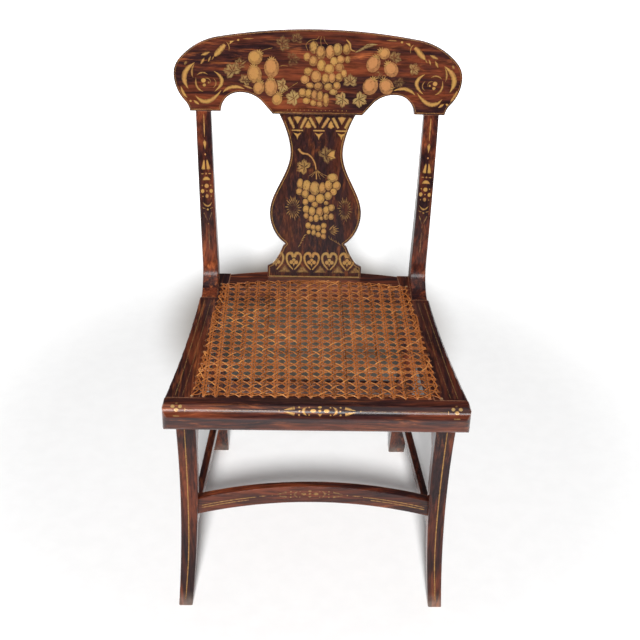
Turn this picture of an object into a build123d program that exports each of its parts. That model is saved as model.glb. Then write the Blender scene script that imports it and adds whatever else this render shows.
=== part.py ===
from build123d import *
import os
from math import cos, floor, radians, sin

# A stenciled side chair with a caned seat, in millimetres.
# X runs to the sitter's left, Y from the front of the seat to the back, Z up.
# The origin is on the floor, in the middle of the whole chair's box.
# A depth is a distance behind the foremost line of the front seat rail.
# A half is a distance from the middle of the chair to one side.

# Seat frame
SEAT_HEIGHT = 436.0  # floor to the top of the seat rails
SEAT_DEPTH = 415.0  # front of the seat to the back end of the side rails
SEAT_REAR_HALF = 190.5  # outer edge of the side rails at the back end
RAIL_HEIGHT = 40.0  # front rail, and the side rails over the front legs
REAR_RAIL_HEIGHT = 32.0  # rear rail, and the side rails over the rear legs
FRONT_RAIL_HALF = 225.0  # end of the front rail
FRONT_RAIL_OVERHANG = 2.5  # beyond the side rails, at each end
FRONT_RAIL_DEPTH = 31.0  # front line to the joint with the side rails
FRONT_CORNER_RADIUS = 11.0  # corners of the front rail, seen from above
FRONT_END_ROUND = 7.0  # ends of the front rail, seen from the front
NOSE_RADIUS = 20.0  # upper roll of the front rail
CHIN_RADIUS = 11.0  # lower roll of the front rail
SIDE_HOLLOW = 6.2  # inward sweep of the outer edge from a straight line
SIDE_TAPER_CLEAR = 5.0  # back of the knee to where the side rail starts to thin
SIDE_TAPER_END = 55.0  # the side rail's back end to where it is thinned fully
SIDE_EDGE_ROUND = 3.5
REAR_RAIL_SETBACK = 3.0  # back of the rear rail's ends to the side rails' back
REAR_BOW = 17.0  # backward bow of the rear rail in plan
RAIL_TENON_LENGTH = 16.0
RAIL_TENON_HEIGHT = 15.0
REAR_TENON_HEIGHT = 9.0
REAR_TENON_DEPTH = 20.0
REAR_TENON_SET_IN = 2.0  # start of the rear rail's tenon inside its end

# Cane
CANE_FRONT_SET_IN = 4.0  # joint of the front rail to the front row of holes
CANE_REAR_SET_IN = 39.0  # back end of the side rails to the rear row of holes
CANE_PITCH = 17.4
CANE_LAST_ROW_CLEAR = 0.3  # least part of a cell between the last row and the rear holes
CANE_CORNER_CLEAR = CANE_PITCH / 3  # no hole comes nearer to a corner hole
CANE_FRONT_MARGIN = 39.8  # outer edge of the seat to the side holes, in front
CANE_REAR_MARGIN = 32.0  # the same at the back
CANE_LEDGE = 11.0  # holes to the inner edge of the rails
CANE_HOLE_RADIUS = 2.3
CANE_STUB_FIT = 0.2  # between a hole and the strands that fill it
CANE_STUB_LENGTH = 14.0
CANE_BORDER = 3.0  # cane outside the row of holes
CANE_PAIR_WIDTH = 5.6  # two strands side by side
CANE_STRAND_WIDTH = 2.6
CANE_SQUARE_THICKNESS = 1.2  # two layers of squares
CANE_DIAGONAL_THICKNESS = 0.6
PEG_FIT = 0.4  # between a corner hole and its peg
PEG_LENGTH = 20.0

# Back
BACK_HEIGHT = 274.0  # seat to the front lower edge of the crest's centre block
BACK_RAKE = 53.0  # that edge behind the back end of the side rails
CREST_TILT = 16.0  # degrees from upright
CREST_RISE = 138.0  # height of the crest rail along its face
CREST_THICKNESS = 20.0
CREST_BOW = 18.0  # how far the ends come forward
CREST_OVERHANG = 35.3  # crest rail beyond the outside of the stiles
CREST_BROW_SET_IN = 72.0  # end of the crest rail to where its top turns down
CREST_BROW_DROP = 14.0  # top of the crest rail to that turn
CREST_SHOULDER_SET_IN = 9.0
CREST_SHOULDER_DROP = 50.0
CREST_CHEEK_DROP = 78.0  # top of the crest rail to its widest line
CREST_JOWL_SET_IN = 17.5
CREST_JOWL_RISE = 17.0  # pad to the hollow under the end
PAD_DROP = 3.5  # the pads over the stiles end this much above the block
PAD_OUTER = 21.5  # middle of the stile to the outside of its pad
PAD_INNER = 28.5
ARCH_WIDTH = 27.0  # pad to the crown of the arch
ARCH_RISE = 30.5  # pad to the crown of the arch
BLOCK_OVERHANG = 10.0  # centre block beyond the head of the splat
BLOCK_FLARE = 17.5  # centre block to the turn at the foot of the arch
BLOCK_FLARE_RISE = 19.5
CREST_EDGE_ROUND = 1.6
STILE_FOOT_LENGTH = 85.0  # foot on the side rail, to the rail's back end
STILE_TOE_LENGTH = 13.0  # flat part of the foot in front of the scoop
STILE_SCOOP_RADIUS = 50.0
STILE_SCOOP_LEAN = 10.0  # degrees from upright at the top of the scoop
STILE_FOOT_WIDTH = 26.0
STILE_SPLAY = 11.0  # how far the top leans outward
STILE_TOP_WIDTH = 25.0
STILE_TOP_THICKNESS = 17.0
STILE_UPRIGHT = 16.0  # height above the seat where the stile starts to splay
STILE_BACK_HOLLOW = 5.0
LAP_THICKNESS = 20.0  # tongue of the stile in the side rail
STILE_TENON_WIDTH = 14.0
STILE_TENON_THICKNESS = 8.0
STILE_TENON_LENGTH = 28.0
STILE_EDGE_ROUND = 2.0
SPLAT_SET_IN = 10.0  # face of the splat's foot to the side rails' back end
SPLAT_THICKNESS = 11.0
SPLAT_FOOT_HALF = 81.0
SPLAT_EAR_LEVEL = 20.5  # seat to the top of the foot block
SPLAT_EAR_STEP = 9.0
SPLAT_HOLLOW = 2.0  # inward curve between the foot block and the pinch
SPLAT_PINCH_LEVEL = 59.5
SPLAT_PINCH_HALF = 50.5
SPLAT_BELLY_LEVEL = 116.0
SPLAT_BELLY_HALF = 78.0
SPLAT_JOWL_SET_IN = 5.0  # belly to the outline halfway down to the pinch
SPLAT_WAIST_DROP = 70.0  # crest rail to the waist
SPLAT_WAIST_HALF = 44.3
SPLAT_FLARE_DROP = 36.0
SPLAT_FLARE_STEP = 5.0  # waist to the outline at the start of the flare
SPLAT_HEAD_HALF = 64.5
SPLAT_TENON_THICKNESS = 6.0
SPLAT_TENON_LENGTH = 13.0
SPLAT_TENON_MARGIN = 14.0  # shoulder at each end of the splat's tenons
SPLAT_EDGE_BEVEL = 1.2

# Front legs
FRONT_LEG_TOP_DEPTH = 20.0
FRONT_LEG_CALF_DEPTH = 54.0  # front edge at the calf
FRONT_LEG_CALF_HEIGHT = 170.0
FRONT_FOOT_KICK = 4.0  # calf to the front edge of the foot
FRONT_FOOT_THICKNESS = 24.0
FRONT_LEG_THICKNESS = 27.0
FRONT_KNEE_DROP = 66.0  # rail to the bend behind the knee
FRONT_KNEE_LENGTH = 90.0  # knee along the rail
FRONT_KNEE_HOLLOW = 5.0
FRONT_KNEE_ROUND = 14.0
FRONT_LEG_SET_IN = 15.5  # outside of the seat to the outside of the leg
FRONT_LEG_TOP_WIDTH = 29.0
FRONT_LEG_CALF_SPLAY = 2.5  # outward sweep from the top to the calf
FRONT_LEG_CALF_WIDTH = 26.0
FRONT_FOOT_SPLAY = 12.0  # outward sweep from the top to the foot
FRONT_FOOT_WIDTH = 22.5
FRONT_TENON_SET_IN = 46.0  # top front edge of the leg to the tenon's middle
FRONT_TENON_SIZE = 15.0
FRONT_TENON_LENGTH = 26.0

# Rear legs
REAR_LEG_SET_IN = 41.0  # front edge of the top to the side rails' back end
REAR_LEG_TOP_THICKNESS = 36.0
REAR_LEG_CALF_SWEEP = 43.0  # backward sweep from the top to the calf
REAR_LEG_CALF_HEIGHT = 200.0
REAR_LEG_CALF_THICKNESS = 31.0
REAR_FOOT_SWEEP = 113.0  # backward sweep from the top to the foot
REAR_FOOT_THICKNESS = 27.0
REAR_LEG_SIDE_STEP = 0.5  # outside of the side rail to the outside of the leg
REAR_LEG_WIDTH = 31.0
REAR_LEG_TENON_SIZE = 13.0
REAR_LEG_TENON_LENGTH = 26.0
LEG_EDGE_ROUND = 2.5

# Stretchers
FRONT_STRETCHER_HEIGHT = 31.0
FRONT_STRETCHER_THICKNESS = 14.0
FRONT_STRETCHER_LEVEL = 204.0  # floor to its centre line at the ends
FRONT_STRETCHER_RISE = 29.0
FRONT_STRETCHER_SET_IN = 15.0  # front edge of the leg's calf to its middle
SIDE_STRETCHER_WIDTH = 13.0
SIDE_STRETCHER_HEIGHT = 18.0
SIDE_STRETCHER_OFFSET = 5.0  # inward of the front leg's middle
SIDE_STRETCHER_FRONT_LEVEL = 163.0
SIDE_STRETCHER_REAR_LEVEL = 126.0
REAR_STRETCHER_HEIGHT = 22.0
REAR_STRETCHER_THICKNESS = 13.0
REAR_STRETCHER_LEVEL = 188.0
HOUSING = 10.0  # how far a stretcher is let into a leg
STRETCHER_EDGE_ROUND = 2.0

# Fastenings
SCREW_SET_INS = (11.0, 34.0)  # front of the stile's foot to each screw
SCREW_RADIUS = 2.2
SCREW_HEAD_RADIUS = 4.4
SCREW_HEAD_HEIGHT = 3.0
SCREW_TIP_COVER = 5.0  # wood over the tip of a screw in the stile's foot
PIN_RADIUS = 2.5
PIN_LENGTH = 15.0
PIN_LEVEL = 14.0  # above the shoulder of the stile

# Fits
FIT = 0.15  # clearance round a tenon, pin or screw
TIP_GAP = 1.0  # clearance beyond the tip of a tenon
OVERRUN = 1.0  # how far a shaping cut runs past the wood
WHOLE = 0.01  # lets a span of whole cells count as whole
EDGE_START = 0.5  # edges are rounded from this far above the seat

LEAN = radians(CREST_TILT)
RAIL_BOTTOM = SEAT_HEIGHT - RAIL_HEIGHT
REAR_RAIL_BOTTOM = SEAT_HEIGHT - REAR_RAIL_HEIGHT
LAP_BOTTOM = SEAT_HEIGHT - LAP_THICKNESS
SEAT_FRONT_HALF = FRONT_RAIL_HALF - FRONT_RAIL_OVERHANG
REAR_RAIL_BACK_DEPTH = SEAT_DEPTH - REAR_RAIL_SETBACK
CANE_FRONT_DEPTH = FRONT_RAIL_DEPTH + CANE_FRONT_SET_IN
CANE_REAR_DEPTH = SEAT_DEPTH - CANE_REAR_SET_IN
CREST_HEIGHT = SEAT_HEIGHT + BACK_HEIGHT
CREST_DEPTH = SEAT_DEPTH + BACK_RAKE
STILE_TOP_HALF = SEAT_REAR_HALF + STILE_SPLAY
STILE_TOP_MIDDLE = STILE_TOP_HALF - STILE_TOP_WIDTH / 2
STILE_FOOT_MIDDLE = SEAT_REAR_HALF - STILE_FOOT_WIDTH / 2
STILE_FOOT_FRONT_DEPTH = SEAT_DEPTH - STILE_FOOT_LENGTH
STILE_SCOOP_DEPTH = STILE_FOOT_FRONT_DEPTH + STILE_TOE_LENGTH
CREST_HALF = STILE_TOP_HALF + CREST_OVERHANG
SPLAT_FOOT_DEPTH = SEAT_DEPTH - SPLAT_SET_IN
FRONT_KNEE_BACK_DEPTH = FRONT_LEG_TOP_DEPTH + FRONT_KNEE_LENGTH
FRONT_LEG_TOP_HALF = SEAT_FRONT_HALF - FRONT_LEG_SET_IN
FRONT_LEG_CALF_HALF = FRONT_LEG_TOP_HALF + FRONT_LEG_CALF_SPLAY
FRONT_FOOT_HALF = FRONT_LEG_TOP_HALF + FRONT_FOOT_SPLAY
FRONT_FOOT_DEPTH = FRONT_LEG_CALF_DEPTH + FRONT_FOOT_KICK
REAR_LEG_TOP_DEPTH = SEAT_DEPTH - REAR_LEG_SET_IN
REAR_LEG_CALF_DEPTH = REAR_LEG_TOP_DEPTH + REAR_LEG_CALF_SWEEP
REAR_FOOT_DEPTH = REAR_LEG_TOP_DEPTH + REAR_FOOT_SWEEP
REAR_LEG_OUTER_HALF = SEAT_REAR_HALF - REAR_LEG_SIDE_STEP
SCREW_DEPTHS = [STILE_FOOT_FRONT_DEPTH + set_in for set_in in SCREW_SET_INS]
CHAIR_DEPTH = CREST_DEPTH + CREST_RISE * sin(LEAN) + CREST_THICKNESS * cos(LEAN)
FRONT_Y = -CHAIR_DEPTH / 2


def y_at(depth):
    return FRONT_Y + depth


# --- joints: a plane whose normal points into the mortised piece, and a size


def block(plane, width, height, length, mode=Mode.ADD):
    with BuildSketch(plane) as end:
        Rectangle(width, height)
    extrude(end.sketch, amount=length, mode=mode)


def rod(plane, radius, length, mode=Mode.ADD):
    with BuildSketch(plane) as end:
        Circle(radius)
    extrude(end.sketch, amount=length, mode=mode)


def tenon(joint):
    block(*joint)


def mortise(joint):
    plane, width, height, length = joint
    block(plane, width + 2 * FIT, height + 2 * FIT, length + TIP_GAP, Mode.SUBTRACT)


def upward(half_width, depth, height):
    return Plane((half_width, y_at(depth), height), x_dir=(1, 0, 0), z_dir=(0, 0, 1))


# --- where the pieces meet


def cane_half(depth):
    """Middle of the chair to the side holes of the cane."""
    share = (depth - CANE_FRONT_DEPTH) / (CANE_REAR_DEPTH - CANE_FRONT_DEPTH)
    front = SEAT_FRONT_HALF - CANE_FRONT_MARGIN
    rear = SEAT_REAR_HALF - CANE_REAR_MARGIN
    return front + (rear - front) * share


def rail_inner_half(depth):
    return cane_half(depth) - CANE_LEDGE


def cane_rear_depth(half_width):
    """The rear row of holes follows the bow of the rear rail."""
    share = half_width / cane_half(CANE_REAR_DEPTH)
    return CANE_REAR_DEPTH + REAR_BOW * (1 - share**2)


def crest_plane(level=0.0, half_width=0.0, back=0.0):
    """Plane across the crest rail: X along it, Z up along its face."""
    bow = CREST_BOW * (half_width / CREST_HALF) ** 2
    offset = back - bow
    return Plane(
        (
            half_width,
            y_at(CREST_DEPTH) + level * sin(LEAN) + offset * cos(LEAN),
            CREST_HEIGHT + level * cos(LEAN) - offset * sin(LEAN),
        ),
        x_dir=(1, 0, 0),
        z_dir=(0, sin(LEAN), cos(LEAN)),
    )


STILE_SHOULDER = crest_plane(PAD_DROP, STILE_TOP_MIDDLE, CREST_THICKNESS / 2)
STILE_TENON = (
    STILE_SHOULDER,
    STILE_TENON_WIDTH,
    STILE_TENON_THICKNESS,
    STILE_TENON_LENGTH,
)
SIDE_RAIL_TENON = (
    Plane(
        (
            (SEAT_FRONT_HALF + rail_inner_half(FRONT_RAIL_DEPTH)) / 2,
            y_at(FRONT_RAIL_DEPTH),
            RAIL_BOTTOM + RAIL_HEIGHT / 2,
        ),
        x_dir=(1, 0, 0),
        z_dir=(0, -1, 0),
    ),
    (SEAT_FRONT_HALF - rail_inner_half(FRONT_RAIL_DEPTH)) / 2,
    RAIL_TENON_HEIGHT,
    RAIL_TENON_LENGTH,
)
REAR_RAIL_TENON = (
    Plane(
        (
            rail_inner_half(REAR_RAIL_BACK_DEPTH) - REAR_TENON_SET_IN,
            y_at((REAR_RAIL_BACK_DEPTH + CANE_REAR_DEPTH - CANE_LEDGE) / 2),
            REAR_RAIL_BOTTOM + REAR_TENON_HEIGHT / 2 + TIP_GAP,
        ),
        x_dir=(0, 1, 0),
        z_dir=(1, 0, 0),
    ),
    REAR_TENON_DEPTH,
    REAR_TENON_HEIGHT,
    RAIL_TENON_LENGTH,
)
FRONT_LEG_TENON = (
    upward(
        FRONT_LEG_TOP_HALF - FRONT_LEG_TOP_WIDTH / 2,
        FRONT_LEG_TOP_DEPTH + FRONT_TENON_SET_IN,
        RAIL_BOTTOM,
    ),
    FRONT_TENON_SIZE,
    FRONT_TENON_SIZE,
    FRONT_TENON_LENGTH,
)
REAR_LEG_TENON = (
    upward(
        REAR_LEG_OUTER_HALF - REAR_LEG_WIDTH / 2,
        REAR_LEG_TOP_DEPTH + REAR_LEG_TOP_THICKNESS / 2,
        REAR_RAIL_BOTTOM,
    ),
    REAR_LEG_TENON_SIZE,
    REAR_LEG_TENON_SIZE,
    REAR_LEG_TENON_LENGTH,
)


# --- cane pattern


def cane_columns():
    """X of each front-to-back pair, mirrored about the middle."""
    half = cane_half(CANE_FRONT_DEPTH)
    count = floor(2 * half / CANE_PITCH + WHOLE) + 1
    return [(number - (count - 1) / 2) * CANE_PITCH for number in range(count)]


def cane_rows():
    """Depth of each side-to-side pair."""
    count = floor((CANE_REAR_DEPTH - CANE_FRONT_DEPTH) / CANE_PITCH - CANE_LAST_ROW_CLEAR)
    return [CANE_FRONT_DEPTH + (number + 1) * CANE_PITCH for number in range(count)]


def cane_corners():
    front = cane_half(CANE_FRONT_DEPTH)
    rear = cane_half(CANE_REAR_DEPTH)
    corners = []
    for side in (-1, 1):
        corners.append((side * front, y_at(CANE_FRONT_DEPTH)))
        corners.append((side * rear, y_at(CANE_REAR_DEPTH)))
    return corners


def cane_holes():
    """Centres of the holes round the seat, without the four corners."""
    holes = []
    for x in cane_columns():
        if abs(x) < cane_half(CANE_FRONT_DEPTH) - CANE_CORNER_CLEAR:
            holes.append((x, y_at(CANE_FRONT_DEPTH)))
        if abs(x) < cane_half(CANE_REAR_DEPTH) - CANE_CORNER_CLEAR:
            holes.append((x, y_at(cane_rear_depth(x))))
    for depth in cane_rows():
        for side in (-1, 1):
            holes.append((side * cane_half(depth), y_at(depth)))
    return holes


def cane_outline(border):
    """Edges of the caned area's outline, with a border outside the holes."""
    front = cane_half(CANE_FRONT_DEPTH) + border
    rear = cane_half(CANE_REAR_DEPTH) + border
    front_y = y_at(CANE_FRONT_DEPTH - border)
    rear_y = y_at(CANE_REAR_DEPTH + border)
    with BuildLine() as outline:
        Polyline((-rear, rear_y), (-front, front_y), (front, front_y), (rear, rear_y))
        ThreePointArc((rear, rear_y), (0, rear_y + REAR_BOW), (-rear, rear_y))
    return outline.edges()


def cane_cells():
    """Centres of the square openings that lie wholly inside the outline."""
    columns = cane_columns()
    rows = [CANE_FRONT_DEPTH] + cane_rows()
    cells = []
    for depth in rows:
        middle = depth + CANE_PITCH / 2
        far = middle + CANE_PITCH / 2
        for x in columns[:-1]:
            centre = x + CANE_PITCH / 2
            reach = abs(centre) + CANE_PITCH / 2
            if reach < cane_half(far) and far < cane_rear_depth(min(reach, cane_half(far))):
                cells.append((centre, y_at(middle)))
    return cells


# --- seat frame


def drill_cane_holes():
    """The cane holes of the whole seat; a rail is cut by those over it."""
    with BuildSketch(Plane.XY.offset(RAIL_BOTTOM)) as holes:
        with Locations(*cane_holes(), *cane_corners()):
            Circle(CANE_HOLE_RADIUS)
    extrude(holes.sketch, amount=RAIL_HEIGHT, mode=Mode.SUBTRACT)


def make_front_rail():
    back = CANE_FRONT_DEPTH + CANE_LEDGE
    with BuildPart() as rail:
        with BuildSketch(Plane.YZ) as section:
            with BuildLine():
                Line((y_at(back), RAIL_BOTTOM), (y_at(back), SEAT_HEIGHT))
                Line((y_at(back), SEAT_HEIGHT), (y_at(NOSE_RADIUS), SEAT_HEIGHT))
                RadiusArc(
                    (y_at(NOSE_RADIUS), SEAT_HEIGHT),
                    (y_at(0), SEAT_HEIGHT - NOSE_RADIUS),
                    -NOSE_RADIUS,
                )
                Line((y_at(0), SEAT_HEIGHT - NOSE_RADIUS), (y_at(0), RAIL_BOTTOM + CHIN_RADIUS))
                RadiusArc(
                    (y_at(0), RAIL_BOTTOM + CHIN_RADIUS),
                    (y_at(CHIN_RADIUS), RAIL_BOTTOM),
                    -CHIN_RADIUS,
                )
                Line((y_at(CHIN_RADIUS), RAIL_BOTTOM), (y_at(back), RAIL_BOTTOM))
            make_face()
        extrude(amount=FRONT_RAIL_HALF, both=True)
        with BuildSketch(Plane.XY.offset(RAIL_BOTTOM)) as plan:
            inner = rail_inner_half(FRONT_RAIL_DEPTH)
            tongue = rail_inner_half(back)
            Polygon(
                (-FRONT_RAIL_HALF, y_at(0)),
                (FRONT_RAIL_HALF, y_at(0)),
                (SEAT_FRONT_HALF, y_at(FRONT_RAIL_DEPTH)),
                (inner, y_at(FRONT_RAIL_DEPTH)),
                (tongue, y_at(back)),
                (-tongue, y_at(back)),
                (-inner, y_at(FRONT_RAIL_DEPTH)),
                (-SEAT_FRONT_HALF, y_at(FRONT_RAIL_DEPTH)),
                align=None,
            )
            fillet(plan.vertices().group_by(Axis.Y)[0], FRONT_CORNER_RADIUS)
        extrude(amount=RAIL_HEIGHT, mode=Mode.INTERSECT)
        with BuildSketch(Plane.XZ.offset(-y_at(back))) as front:
            with Locations((0, RAIL_BOTTOM + RAIL_HEIGHT / 2)):
                Rectangle(2 * FRONT_RAIL_HALF, RAIL_HEIGHT)
            fillet(front.vertices(), FRONT_END_ROUND)
        extrude(amount=back, mode=Mode.INTERSECT)
        mortise(SIDE_RAIL_TENON)
        mortise(mirror_joint(SIDE_RAIL_TENON))
        drill_cane_holes()
    return rail


def mirror_joint(joint):
    """The same joint on the other side of the chair."""
    plane, width, height, length = joint
    origin = (-plane.origin.X, plane.origin.Y, plane.origin.Z)
    x_dir = (-plane.x_dir.X, plane.x_dir.Y, plane.x_dir.Z)
    z_dir = (-plane.z_dir.X, plane.z_dir.Y, plane.z_dir.Z)
    return Plane(origin, x_dir=x_dir, z_dir=z_dir), width, height, length


def make_side_rail():
    middle_depth = (FRONT_RAIL_DEPTH + SEAT_DEPTH) / 2
    middle_half = (SEAT_FRONT_HALF + SEAT_REAR_HALF) / 2 - SIDE_HOLLOW
    with BuildPart() as rail:
        with BuildSketch(Plane.XY.offset(RAIL_BOTTOM)):
            with BuildLine():
                front_outer = (SEAT_FRONT_HALF, y_at(FRONT_RAIL_DEPTH))
                rear_outer = (SEAT_REAR_HALF, y_at(SEAT_DEPTH))
                front_inner = (rail_inner_half(FRONT_RAIL_DEPTH), y_at(FRONT_RAIL_DEPTH))
                rear_inner = (rail_inner_half(SEAT_DEPTH), y_at(SEAT_DEPTH))
                ThreePointArc(front_outer, (middle_half, y_at(middle_depth)), rear_outer)
                Polyline(rear_outer, rear_inner, front_inner, front_outer)
            make_face()
        extrude(amount=RAIL_HEIGHT)
        with BuildSketch(Plane.YZ) as underside:
            Polygon(
                (y_at(FRONT_KNEE_BACK_DEPTH + SIDE_TAPER_CLEAR), RAIL_BOTTOM),
                (y_at(SEAT_DEPTH - SIDE_TAPER_END), REAR_RAIL_BOTTOM),
                (y_at(SEAT_DEPTH) + OVERRUN, REAR_RAIL_BOTTOM),
                (y_at(SEAT_DEPTH) + OVERRUN, RAIL_BOTTOM),
                align=None,
            )
        extrude(amount=SEAT_FRONT_HALF, mode=Mode.SUBTRACT)
        outer_top = rail.edges().filter_by(GeomType.CIRCLE).group_by(Axis.Z)[-1]
        fillet(outer_top, SIDE_EDGE_ROUND)
        with BuildSketch(Plane.XY.offset(LAP_BOTTOM)) as notch:
            with Locations((SEAT_REAR_HALF, y_at(SEAT_DEPTH))):
                Rectangle(
                    STILE_FOOT_WIDTH,
                    SEAT_DEPTH - STILE_FOOT_FRONT_DEPTH,
                    align=(Align.MAX, Align.MAX),
                )
            with Locations((SEAT_REAR_HALF, y_at(SEAT_DEPTH))):
                Rectangle(
                    2 * SIDE_HOLLOW,
                    SEAT_DEPTH - STILE_FOOT_FRONT_DEPTH,
                    align=(Align.MIN, Align.MAX),
                )
        extrude(amount=LAP_THICKNESS, mode=Mode.SUBTRACT)
        tenon(SIDE_RAIL_TENON)
        mortise(FRONT_LEG_TENON)
        mortise(REAR_LEG_TENON)
        mortise(REAR_RAIL_TENON)
        for depth in SCREW_DEPTHS:
            screw(depth, FIT, Mode.SUBTRACT)
        drill_cane_holes()
    return rail


def screw(depth, extra=0.0, mode=Mode.ADD):
    """A countersunk screw from below, or with extra the hole for it."""
    radius = SCREW_RADIUS + extra
    head = SCREW_HEAD_RADIUS + extra
    base = side_rail_bottom(depth)
    tip = SEAT_HEIGHT - SCREW_TIP_COVER + extra
    with BuildSketch(Plane.XZ.offset(-y_at(depth))) as half:
        with BuildLine():
            Polyline(
                (STILE_FOOT_MIDDLE, base),
                (STILE_FOOT_MIDDLE + head, base),
                (STILE_FOOT_MIDDLE + radius, base + SCREW_HEAD_HEIGHT),
                (STILE_FOOT_MIDDLE + radius, tip),
                (STILE_FOOT_MIDDLE, tip),
                (STILE_FOOT_MIDDLE, base),
            )
        make_face()
    centre_line = Axis((STILE_FOOT_MIDDLE, y_at(depth), 0), (0, 0, 1))
    revolve(half.sketch, axis=centre_line, mode=mode)


def side_rail_bottom(depth):
    """Underside of the side rail, which tapers towards the back."""
    start = FRONT_KNEE_BACK_DEPTH + SIDE_TAPER_CLEAR
    end = SEAT_DEPTH - SIDE_TAPER_END
    share = min(max((depth - start) / (end - start), 0), 1)
    return RAIL_BOTTOM + (REAR_RAIL_BOTTOM - RAIL_BOTTOM) * share


def make_rear_rail():
    front_depth = CANE_REAR_DEPTH - CANE_LEDGE
    front = rail_inner_half(front_depth)
    back = rail_inner_half(REAR_RAIL_BACK_DEPTH)
    with BuildPart() as rail:
        with BuildSketch(Plane.XY.offset(REAR_RAIL_BOTTOM)):
            with BuildLine():
                front_y = y_at(front_depth)
                back_y = y_at(REAR_RAIL_BACK_DEPTH)
                ThreePointArc((-front, front_y), (0, front_y + REAR_BOW), (front, front_y))
                Line((front, front_y), (back, back_y))
                ThreePointArc((back, back_y), (0, back_y + REAR_BOW), (-back, back_y))
                Line((-back, back_y), (-front, front_y))
            make_face()
        extrude(amount=REAR_RAIL_HEIGHT)
        tenon(REAR_RAIL_TENON)
        tenon(mirror_joint(REAR_RAIL_TENON))
        mortise(SPLAT_FOOT_TENON)
        drill_cane_holes()
    return rail


# --- cane


def make_square_weave():
    """The front-to-back and side-to-side pairs, as one flat sheet."""
    with BuildPart() as weave:
        with BuildSketch(Plane.XY.offset(SEAT_HEIGHT)):
            make_face(cane_outline(CANE_BORDER))
            opening = CANE_PITCH - CANE_PAIR_WIDTH
            with Locations(*cane_cells()):
                Rectangle(opening, opening, mode=Mode.SUBTRACT)
            with Locations(*cane_corners()):
                Circle(CANE_HOLE_RADIUS - PEG_FIT / 2, mode=Mode.SUBTRACT)
        extrude(amount=CANE_SQUARE_THICKNESS)
    return weave


def make_strand_ends():
    """The ends of the strands, drawn down through the holes in the rails."""
    with BuildPart() as ends:
        with BuildSketch(Plane.XY.offset(SEAT_HEIGHT - CANE_STUB_LENGTH)):
            with Locations(*cane_holes()):
                Circle(CANE_HOLE_RADIUS - CANE_STUB_FIT)
        extrude(amount=CANE_STUB_LENGTH)
    return ends


def make_diagonals(turn, layer):
    """One set of diagonal strands, over the squares and half a cell off their crossings."""
    level = SEAT_HEIGHT + CANE_SQUARE_THICKNESS + layer * CANE_DIAGONAL_THICKNESS
    reach = 2 * (SEAT_FRONT_HALF + CANE_REAR_DEPTH)
    with BuildPart() as strands:
        with BuildSketch(Plane.XY.offset(level)):
            starts = cane_columns()[0] - CANE_PITCH * (len(cane_rows()) - 1 / 2)
            count = len(cane_columns()) + 2 * len(cane_rows())
            crossings = [starts + CANE_PITCH * number for number in range(count)]
            with Locations(*[(x, y_at(CANE_FRONT_DEPTH)) for x in crossings]):
                Rectangle(reach, CANE_STRAND_WIDTH, rotation=turn)
            make_face(cane_outline(CANE_BORDER), mode=Mode.INTERSECT)
        extrude(amount=CANE_DIAGONAL_THICKNESS)
    return strands


def make_cane_pegs():
    with BuildPart() as pegs:
        top = SEAT_HEIGHT + CANE_SQUARE_THICKNESS
        with BuildSketch(Plane.XY.offset(top - PEG_LENGTH)):
            with Locations(*cane_corners()):
                Circle(CANE_HOLE_RADIUS - PEG_FIT)
        extrude(amount=PEG_LENGTH)
    return pegs


# --- back


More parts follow.
